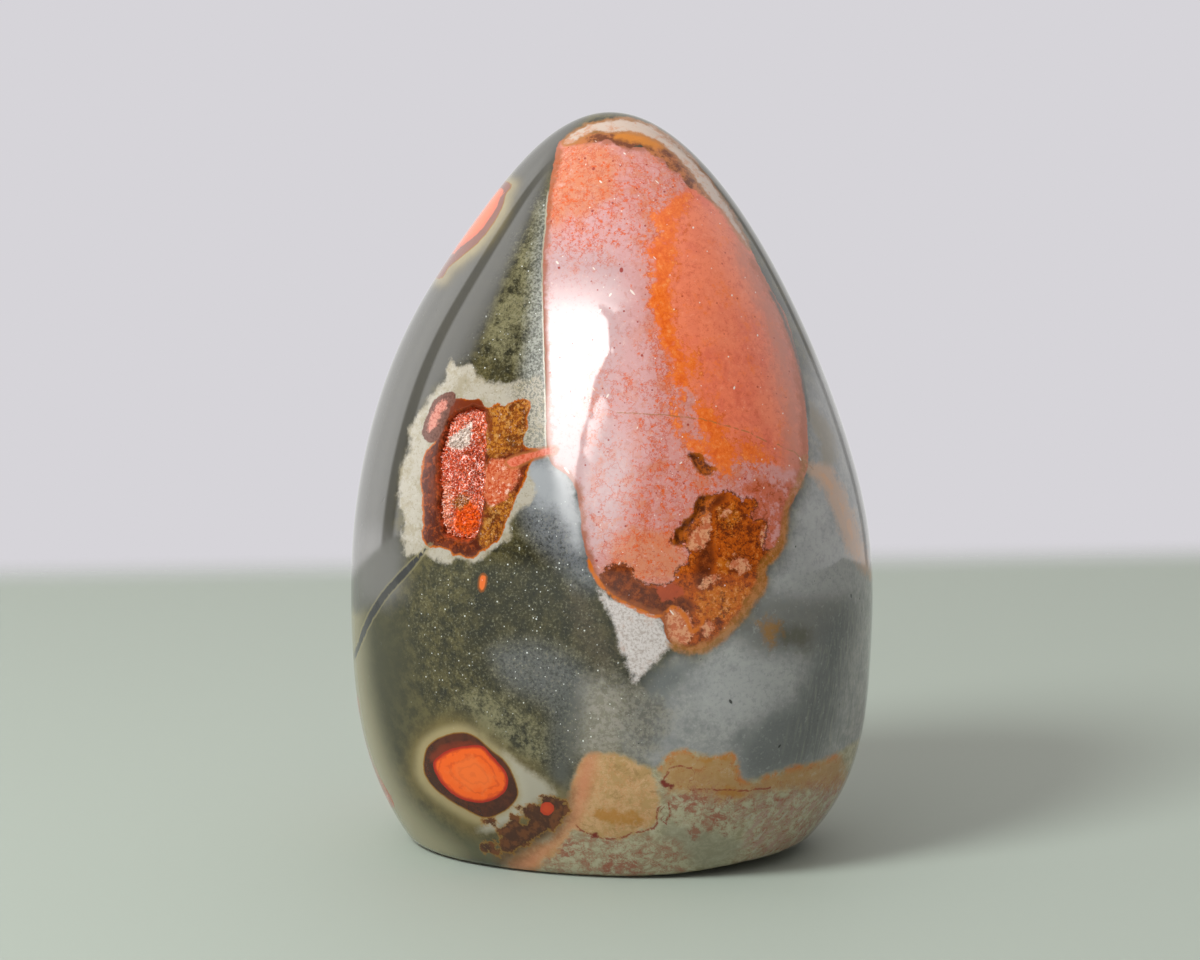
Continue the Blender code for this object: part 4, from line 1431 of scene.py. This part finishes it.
# Partly painted highlight: the pale flecks are dust and painted glints on scratches
dust_and_glint_flecks = p.calc(
    "MAXIMUM",
    p.dots(1.1, 0.1, 0.3, shift=6.0, stretch=(1.0, 1.0, 0.2), lean=0.5),
    p.dots(1.1, 0.1, 0.2, shift=11.0, stretch=(1.0, 1.0, 0.16), lean=-0.7),
)
dust_and_glint_flecks = p.calc("MAXIMUM", dust_and_glint_flecks, p.dots(1.0, 0.08, 0.3, shift=37.0))
dust_and_glint_flecks = p.calc("MAXIMUM", dust_and_glint_flecks, p.dots(3.0, 0.08, 0.45, shift=53.0, stretch=(1.0, 1.0, 0.08), lean=0.9))
colour = p.over(colour, (250, 236, 226), p.times(dust_and_glint_flecks, p.band(p.field("salmon"), 0.2, 0.6), 0.9))

p.feed("Base Color", colour)
p.shader.inputs["IOR"].default_value = QUARTZ_IOR
dull = p.calc("MAXIMUM", p.band(rose_patch, -0.1, 0.4), p.times(frosted_with_sheen, 0.5))
dull = p.calc("MAXIMUM", dull, p.band(p.calc("MAXIMUM", p.field("pit"), p.field("fissure")), -0.5, -0.1))
p.feed("Specular IOR Level", p.calc("MULTIPLY_ADD", dull, -0.42, 0.5))
roughness = p.calc("MULTIPLY_ADD", wander, 0.05, 0.03)
p.feed("Roughness", p.calc("MULTIPLY_ADD", dull, 0.42, roughness))
grain_relief = p.times(p.calc("MAXIMUM", p.band(p.field("vug_patch"), 0.0, 0.6), frosted_with_sheen), specks)
relief = p.calc("SUBTRACT", p.times(grain_relief, 0.8), pits)
bumps = {"Height": relief, "Strength": RELIEF_STRENGTH, "Distance": RELIEF_DEPTH * MM}
p.feed("Normal", p.add("ShaderNodeBump", None, bumps))
stone_mesh.materials.append(p.material)

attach(stone, "root")
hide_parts("jasper_stone")


# The druse is a crust of tiny red and orange crystals that grew on the floor of the vug. Its
# bed is a thin knobbly sheet, closed behind, and the crystals are scattered over the bed's
# open side and joined to it.

CRUST_CELLS = (30, 66)
CRUST_RIM = 0.97
CRUST_DEPTH = 0.85
CRUST_THICKNESS = 0.5
CRUST_RELIEF = 0.28
CRYSTAL_AMOUNTS = {
    "Crystals per area": 13.0 / MM ** 2,
    "Crystal radius": 0.15 * MM,
    "Crystal length": 0.36 * MM,
}
CRYSTAL_TIP_SHARE = 0.45
CRYSTAL_SIZES = (0.55, 1.35)
CRYSTAL_LEAN = 0.7
HALF_TURN = 3.14
# Where the colour of the bed changes, as outlines on the picture
DRUSE_PATCHES = {
    # Painted highlight: the white plate is where the window glints off the crust
    "white_glint_plate": [(448, 447), (450, 438), (456, 434), (463, 430), (472, 421), (471, 445), (462, 450)],
    "crimson_bed": [(441, 452), (450, 446), (466, 452), (470, 470), (466, 490), (452, 490), (440, 476)],
    "gold_bed": [(453, 502), (460, 494), (470, 495), (470, 504), (460, 510), (454, 508)],
    "orange_bed": [
        (453, 526), (456, 512), (462, 504), (472, 500), (480, 508),
        (480, 524), (472, 536), (460, 534),
    ],
    "red_bed": [
        (464, 436), (476, 432), (484, 450), (484, 500), (472, 498),
        (466, 488), (470, 466), (463, 452),
    ],
    "rose_bed": [(440, 486), (448, 482), (453, 500), (452, 524), (456, 538), (446, 538), (440, 520)],
    "warm_crown": [
        (444, 424), (456, 404), (470, 402), (482, 414), (480, 430),
        (466, 426), (450, 438), (442, 440),
    ],
}

side, up, facing = patch_axes(VUG_FACING)
outline_ups, outline_lefts, outline_rights = np.array(VUG_OUTLINE).T


def vug_point(across, along, depth):
    """Point over the vug's floor, at a depth below the polished surface."""
    middle = 0.5 * (outline_ups[0] + outline_ups[-1])
    height = middle + 0.5 * (outline_ups[-1] - outline_ups[0]) * along * CRUST_RIM
    left = np.interp(height, outline_ups, outline_lefts)
    right = np.interp(height, outline_ups, outline_rights)
    sideways = 0.5 * (left + right) + 0.5 * (right - left) * across * CRUST_RIM
    over = VUG_PLACE + sideways * side + height * up + 20.0 * facing
    hit = np.array(polished_face.ray_cast(Vector(over), Vector(-facing))[0])
    return hit - depth * facing


def knobs(across, along):
    """Relief of the crust's bed, from 0 to 1."""
    waves = np.sin(7.0 * across + 2.0 * np.sin(5.0 * along))
    waves *= np.sin(13.0 * along + 3.0 * np.sin(3.0 * across))
    return 0.5 + 0.5 * waves


columns, rows = CRUST_CELLS
bm = bmesh.new()
sheets = []
for lift, relief in ((-CRUST_THICKNESS, 0.0), (0.0, CRUST_RELIEF)):
    sheet = []
    for row in range(rows + 1):
        along = 2.0 * row / rows - 1.0
        line = []
        for column in range(columns + 1):
            across = 2.0 * column / columns - 1.0
            sink = 0.35 * max(abs(across), abs(along)) ** 6
            depth = CRUST_DEPTH - lift - relief * knobs(across, along) + sink
            line.append(bm.verts.new(vug_point(across, along, depth) * MM))
        sheet.append(line)
    sheets.append(sheet)
lower, upper = sheets
open_faces = []
for row in range(rows):
    for column in range(columns):
        corners = ((row, column), (row, column + 1), (row + 1, column + 1), (row + 1, column))
        bm.faces.new([lower[r][c] for r, c in reversed(corners)])
        open_faces.append(bm.faces.new([upper[r][c] for r, c in corners]))
around = [(0, column) for column in range(columns)] + [(row, columns) for row in range(rows)]
around += [(rows, column) for column in range(columns, 0, -1)] + [(row, 0) for row in range(rows, 0, -1)]
for (r, c), (next_r, next_c) in zip(around, around[1:] + around[:1]):
    bm.faces.new((lower[r][c], lower[next_r][next_c], upper[next_r][next_c], upper[r][c]))
bm.faces.index_update()
open_indices = {face.index for face in open_faces}
bed_mesh = bpy.data.meshes.new("druse_bed")
bm.to_mesh(bed_mesh)
bm.free()
open_layer = bed_mesh.attributes.new("open_side", "BOOLEAN", "FACE")
open_layer.data.foreach_set("value", [face.index in open_indices for face in bed_mesh.polygons])
bed_pixels = in_picture(np.array([vert.co[:] for vert in bed_mesh.vertices]) / MM)
for name, outline in DRUSE_PATCHES.items():
    keep_field(bed_mesh, name, distance_inside(bed_pixels, np.array(outline, dtype=float)) / PIXELS_PER_MM)
bed = placed("druse_bed", bed_mesh)

d = Paint("red_druse")
speckle = d.noise(0.4, 3.0, 0.7)
bed_wander = d.noise(1.0, 4.0, 0.65, twist=0.5, shift=3.0)
glints = d.noise(0.17, 1.0, 0.5, shift=8.0)
druse_colour = d.stain((216, 82, 16), (230, 122, 66), speckle, 0.44, 0.62)
druse_colour = d.stained(
    druse_colour,
    ((192, 52, 24), d.ragged("crimson_bed", 0.5, bed_wander), -0.4, 0.6, 0.4),
    ((196, 70, 16), d.ragged("red_bed", 0.7, bed_wander), -0.3, 0.4, 0.85),
    ((226, 140, 104), d.ragged("rose_bed", 0.6, bed_wander), -0.3, 0.4, 0.7),
    ((218, 104, 70), d.ragged("warm_crown", 0.6, bed_wander), -0.3, 0.4, 0.7),
    ((120, 40, 16), bed_wander, 0.44, 0.36, 0.7),
)
orange_bed = d.band(d.ragged("orange_bed", 0.4, bed_wander), -0.2, 0.4)
druse_colour = d.over(druse_colour, (228, 94, 6), d.times(orange_bed, 0.95))
druse_colour = d.stain(druse_colour, (164, 98, 20), d.ragged("gold_bed", 0.3, bed_wander), -0.2, 0.3, 0.9)
# Painted highlight: the white plate where the window glints off the crust
druse_colour = d.stain(druse_colour, (214, 196, 184), d.ragged("white_glint_plate", 0.15, speckle), -0.15, 0.1)
glint_cover = d.times(
    d.band(glints, 0.56, 0.61),
    d.band(bed_wander, 0.38, 0.5),
    d.calc("SUBTRACT", 1.0, orange_bed),
)
druse_colour = d.over(druse_colour, (250, 232, 226), glint_cover)
d.feed("Base Color", druse_colour)
d.shader.inputs["Roughness"].default_value = 0.32
d.shader.inputs["IOR"].default_value = QUARTZ_IOR


def crystal_tree():
    """Scatter pointed crystals over the open side of the bed and join them to it."""
    tree = bpy.data.node_groups.new("druse_crystals", "GeometryNodeTree")
    face = tree.interface
    face.new_socket("Geometry", in_out="INPUT", socket_type="NodeSocketGeometry")
    for label, amount in CRYSTAL_AMOUNTS.items():
        face.new_socket(label, in_out="INPUT", socket_type="NodeSocketFloat").default_value = amount
    face.new_socket("Geometry", in_out="OUTPUT", socket_type="NodeSocketGeometry")

    def add(kind, inputs, settings=None):
        """Add a node to the tree and give all its outputs."""
        return wired(tree, kind, settings, inputs).outputs

    given = tree.nodes.new("NodeGroupInput").outputs
    open_side = add("GeometryNodeInputNamedAttribute", {"Name": "open_side"}, {"data_type": "BOOLEAN"})
    density = given["Crystals per area"]
    spread = {"Mesh": given["Geometry"], "Selection": open_side[0], "Density": density, "Seed": 7}
    scatter = add("GeometryNodeDistributePointsOnFaces", spread)
    radius = given["Crystal radius"]
    tip = add("ShaderNodeMath", {0: radius, 1: CRYSTAL_TIP_SHARE}, {"operation": "MULTIPLY"})
    cone = {"Vertices": 6, "Radius Bottom": radius, "Radius Top": tip[0], "Depth": given["Crystal length"]}
    crystal = add("GeometryNodeMeshCone", cone)
    sizes = {2: CRYSTAL_SIZES[0], 3: CRYSTAL_SIZES[1], "Seed": 3}
    size = add("FunctionNodeRandomValue", sizes, {"data_type": "FLOAT"})
    furthest = np.array([CRYSTAL_LEAN, CRYSTAL_LEAN, HALF_TURN])
    leans = {0: tuple(-furthest), 1: tuple(furthest), "Seed": 5}
    lean = add("FunctionNodeRandomValue", leans, {"data_type": "FLOAT_VECTOR"})
    turns = {0: scatter["Rotation"], 1: lean[0]}
    turned = add("FunctionNodeRotateRotation", turns, {"rotation_space": "LOCAL"})
    places = {"Points": scatter["Points"], "Instance": crystal["Mesh"]}
    places |= {"Rotation": turned[0], "Scale": size[1]}
    grown = add("GeometryNodeInstanceOnPoints", places)
    joined = tree.nodes.new("GeometryNodeJoinGeometry")
    tree.links.new(grown[0], joined.inputs[0])
    tree.links.new(given["Geometry"], joined.inputs[0])
    real = add("GeometryNodeRealizeInstances", {"Geometry": joined.outputs[0]})
    finish = add("GeometryNodeSetMaterial", {"Geometry": real[0], "Material": d.material})
    add("NodeGroupOutput", {0: finish[0]})
    return tree


grower = bed.modifiers.new("crystals", "NODES")
grower.node_group = crystal_tree()
for item in grower.node_group.interface.items_tree:
    if item.name in CRYSTAL_AMOUNTS:
        grower[item.identifier] = CRYSTAL_AMOUNTS[item.name]
graph = bpy.context.evaluated_depsgraph_get()
druse_mesh = bpy.data.meshes.new_from_object(bed.evaluated_get(graph))
druse_mesh.name = "vug_druse"
bpy.data.objects.remove(bed)
druse_mesh.shade_flat()
druse = placed("vug_druse", druse_mesh)
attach(druse, "root")
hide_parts("druse_crust")


# The table is a plain pale sage top that ends behind the stone in a soft edge, and beyond it
# is plain pale light. The edge runs a little aslant to the stone.

TABLE_EDGE_LEFT = np.array([-160.2, 171.6])
TABLE_EDGE_RIGHT = np.array([71.6, 244.5])
TABLE_EDGE_FADE = (-16.0, 22.0)
TABLE_SPAN = 900.0
TABLE_DEPTH = 1300.0
SAGE = (0.344, 0.388, 0.338, 1.0)

along_edge = (TABLE_EDGE_RIGHT - TABLE_EDGE_LEFT) / np.linalg.norm(TABLE_EDGE_RIGHT - TABLE_EDGE_LEFT)
inward = np.array([along_edge[1], -along_edge[0]])
table_mesh = bpy.data.meshes.new("table_top")
depths = (TABLE_DEPTH, TABLE_DEPTH, TABLE_EDGE_FADE[0], TABLE_EDGE_FADE[0])
spans = (-TABLE_SPAN, TABLE_SPAN, TABLE_SPAN, -TABLE_SPAN)
corners = [TABLE_EDGE_LEFT + span * along_edge + depth * inward for span, depth in zip(spans, depths)]
table_mesh.from_pydata([(x * MM, y * MM, 0.0) for x, y in corners], [], [(0, 1, 2, 3)])
keep_field(table_mesh, "inside_edge", depths)
table = placed("table_top", table_mesh)
t = Paint("sage_table")
t.shader.inputs["Base Color"].default_value = SAGE
t.shader.inputs["Roughness"].default_value = 0.7
t.feed("Alpha", t.band(t.field("inside_edge"), *TABLE_EDGE_FADE))
table_mesh.materials.append(t.material)


# The window shows as one bright streak in the polish. Its pane of light stands where the
# polished face mirrors it into the picture at the places drawn here, row by row: how far
# down, then the dark edge, the bright stretch and the soft edge across, and how bright.

WINDOW_DISTANCE = 900.0
WINDOW_LIGHT = 14.0
WINDOW_COLOUR = (1.0, 0.985, 0.97, 1.0)
STREAK_ROWS = (
    (268.0, (544.0, 556.0, 596.0, 636.0), 0.0),
    (284.0, (544.0, 551.0, 594.0, 640.0), 0.22),
    (297.0, (544.0, 550.0, 592.0, 644.0), 0.5),
    (312.0, (545.0, 550.0, 604.0, 634.0), 0.85),
    (322.0, (545.0, 550.0, 612.0, 624.0), 1.05),
    (350.0, (546.0, 551.0, 610.0, 622.0), 1.1),
    (380.0, (546.0, 551.0, 600.0, 624.0), 1.1),
    (410.0, (544.0, 549.0, 590.0, 618.0), 1.0),
    (440.0, (545.0, 549.0, 582.0, 610.0), 0.9),
    (456.0, (546.0, 553.0, 580.0, 604.0), 0.85),
    (470.0, (547.0, 558.0, 580.0, 600.0), 0.8),
    (485.0, (551.0, 564.0, 578.0, 596.0), 0.6),
    (500.0, (550.0, 564.0, 574.0, 592.0), 0.42),
    (530.0, (554.0, 569.0, 578.0, 598.0), 0.2),
    (562.0, (558.0, 572.0, 582.0, 600.0), 0.0),
)
HAZE_ROWS = (
    (290.0, (600.0, 616.0, 640.0, 664.0), 0.0),
    (350.0, (596.0, 612.0, 640.0, 668.0), 0.07),
    (410.0, (586.0, 602.0, 632.0, 664.0), 0.11),
    (450.0, (578.0, 594.0, 624.0, 656.0), 0.22),
    (490.0, (574.0, 590.0, 616.0, 650.0), 0.28),
    (525.0, (578.0, 592.0, 612.0, 640.0), 0.2),
    (570.0, (584.0, 598.0, 614.0, 636.0), 0.0),
)


def mirrored(across, down):
    """Place of a light that the polished face shows in the picture that far across and down."""
    ray = (
        gaze
        + picture_right * (across - PICTURE_WIDTH / 2) / PIXELS_PER_UNIT
        - picture_up * (down - PICTURE_HEIGHT / 2) / PIXELS_PER_UNIT
    )
    ray /= np.linalg.norm(ray)
    hit, _, index, _ = polished_face.ray_cast(Vector(eye), Vector(ray))
    around = list(stone_mesh.polygons[index].vertices)
    weights = poly_3d_calc([Vector(polished[vert]) for vert in around], hit)
    normal = np.array(weights) @ normals[around]
    normal /= np.linalg.norm(normal)
    return np.array(hit) + WINDOW_DISTANCE * (ray - 2.0 * (ray @ normal) * normal)


def pane_of_light(name, rows):
    """A pane that only shows in reflections, bright in its middle and dark at its sides."""
    mesh = bpy.data.meshes.new(name)
    places = [mirrored(across, down) * MM for down, columns, _ in rows for across in columns]
    width = len(rows[0][1])
    firsts = [row * width + column for row in range(len(rows) - 1) for column in range(width - 1)]
    faces = [(first, first + 1, first + width + 1, first + width) for first in firsts]
    mesh.from_pydata(places, [], faces)
    keep_field(mesh, "glow", [share * edge for _, _, share in rows for edge in (0.0, 1.0, 1.0, 0.0)])
    pane = placed(name, mesh)
    material = bpy.data.materials.new(name)
    material.use_nodes = True
    tree = material.node_tree
    tree.nodes.clear()
    glow = wired(tree, "ShaderNodeAttribute", {"attribute_name": "glow"}).outputs["Fac"]
    power = wired(tree, "ShaderNodeMath", {"operation": "MULTIPLY"}, {0: glow, 1: WINDOW_LIGHT}).outputs[0]
    emission = wired(tree, "ShaderNodeEmission", None, {"Color": WINDOW_COLOUR, "Strength": power}).outputs[0]
    wired(tree, "ShaderNodeOutputMaterial", None, {0: emission})
    mesh.materials.append(material)
    pane.visible_camera = False
    pane.visible_diffuse = False
    pane.visible_shadow = False


pane_of_light("window_pane", STREAK_ROWS)
pane_of_light("window_haze", HAZE_ROWS)


# The shadow falls to the right and away, with a soft edge: one broad lamp to the left of the
# camera, which the polish doesn't mirror, because the window's streak is there for that.

LAMP_TURN = -37.5
LAMP_RISE = 43.5
LAMP_DISTANCE = 800.0
LAMP_WIDTH = 270.0
LAMP_POWER = 6.3
LAMP_COLOUR = (0.96, 1.0, 0.985)


def heading(turned, raised):
    """Direction that many degrees to the right of straight in front of the stone, and up."""
    turned, raised = np.radians([turned, raised])
    return np.array([np.sin(turned) * np.cos(raised), -np.cos(turned) * np.cos(raised), np.sin(raised)])


lamp_data = bpy.data.lights.new("window_lamp", "AREA")
lamp_data.shape = "DISK"
lamp_data.size = LAMP_WIDTH * MM
lamp_data.energy = LAMP_POWER
lamp_data.color = LAMP_COLOUR
lamp = placed("window_lamp", lamp_data)
lamp_place = aim + LAMP_DISTANCE * heading(LAMP_TURN, LAMP_RISE)
lamp.location = Vector(lamp_place) * MM
lamp.rotation_euler = Vector(aim - lamp_place).to_track_quat("-Z", "Y").to_euler()
lamp.visible_glossy = False


# Light from all round: bright behind the stone and to its far left, past one dark upright,
# dimmer on the camera's side, and bright above. The first set of bands is what the polish
# mirrors, and the second is what lights the stone and the table, by degrees to the right.

MIRRORED_BANDS = (
    (-180.0, 0.85), (-160.0, 0.85), (-140.0, 1.0), (-120.0, 1.45), (-110.0, 1.95), (-99.5, 2.1),
    (-97.5, 0.02), (-88.5, 0.02), (-86.5, 2.2), (-74.0, 2.0), (-67.0, 1.2), (-60.0, 0.2), (-54.0, 0.12),
    (60.0, 0.1), (84.0, 0.45), (102.0, 1.1), (115.0, 1.35), (138.0, 1.3), (156.0, 1.0), (158.0, 0.45),
    (163.0, 0.45), (165.0, 0.85), (180.0, 0.85),
)
LIGHTING_BANDS = (
    (-180.0, 0.85), (-60.0, 0.85), (-10.0, 0.4), (20.0, 0.27), (90.0, 0.27), (150.0, 0.7), (180.0, 0.85),
)
MIRRORED_TOP = 0.75
LIGHTING_TOP = 0.72
LIGHTING_TINT = np.array([1.04, 0.975, 0.965])
TOP_FROM = (0.66, 0.78)
SEEN_BEHIND = (214, 212, 217)

world = bpy.data.worlds.new("room_light")
bpy.context.scene.world = world
world.use_nodes = True
room = world.node_tree
room.nodes.clear()


def room_node(kind, inputs=None, settings=None):
    """Add a node to the room's light and give all its outputs."""
    return wired(room, kind, settings, inputs).outputs


parts = room_node("ShaderNodeSeparateXYZ", {0: room_node("ShaderNodeTexCoord")["Generated"]})
forward = room_node("ShaderNodeMath", {0: parts[1], 1: -1.0}, {"operation": "MULTIPLY"})
turned = room_node("ShaderNodeMath", {0: parts[0], 1: forward[0]}, {"operation": "ARCTAN2"})
share = room_node("ShaderNodeMapRange", {"Value": turned[0], "From Min": -np.pi, "From Max": np.pi})
above = room_node("ShaderNodeMapRange", {"Value": parts[2], "From Min": TOP_FROM[0], "From Max": TOP_FROM[1]})


def banded_light(light_bands, top, tint):
    """Light that changes with the direction round the stone, and is even above it."""
    ramp_node = wired(room, "ShaderNodeValToRGB", None, {0: share[0]})
    ramp = ramp_node.color_ramp
    while len(ramp.elements) < len(light_bands):
        ramp.elements.new(0.5)
    for element, (angle, light) in zip(ramp.elements, light_bands):
        element.position = (angle + 180.0) / 360.0
        element.color = (*(light * tint), 1.0)
    mixed = {0: above[0], 6: ramp_node.outputs[0], 7: (*(top * tint), 1.0)}
    both = room_node("ShaderNodeMix", mixed, {"data_type": "RGBA"})
    return room_node("ShaderNodeBackground", {"Color": both[2], "Strength": 1.0})


path = room_node("ShaderNodeLightPath")
room_light = banded_light(LIGHTING_BANDS, LIGHTING_TOP, LIGHTING_TINT)
mirrored_light = banded_light(MIRRORED_BANDS, MIRRORED_TOP, np.ones(3))
seen_light = room_node("ShaderNodeBackground", {"Color": shade(*SEEN_BEHIND), "Strength": 1.0})
for ray_kind, light in (("Is Glossy Ray", mirrored_light), ("Is Camera Ray", seen_light)):
    room_light = room_node("ShaderNodeMixShader", {0: path[ray_kind], 1: room_light[0], 2: light[0]})
room_node("ShaderNodeOutputWorld", {0: room_light[0]})

bpy.context.scene.view_settings.view_transform = "Standard"
bpy.context.scene.view_settings.look = "None"
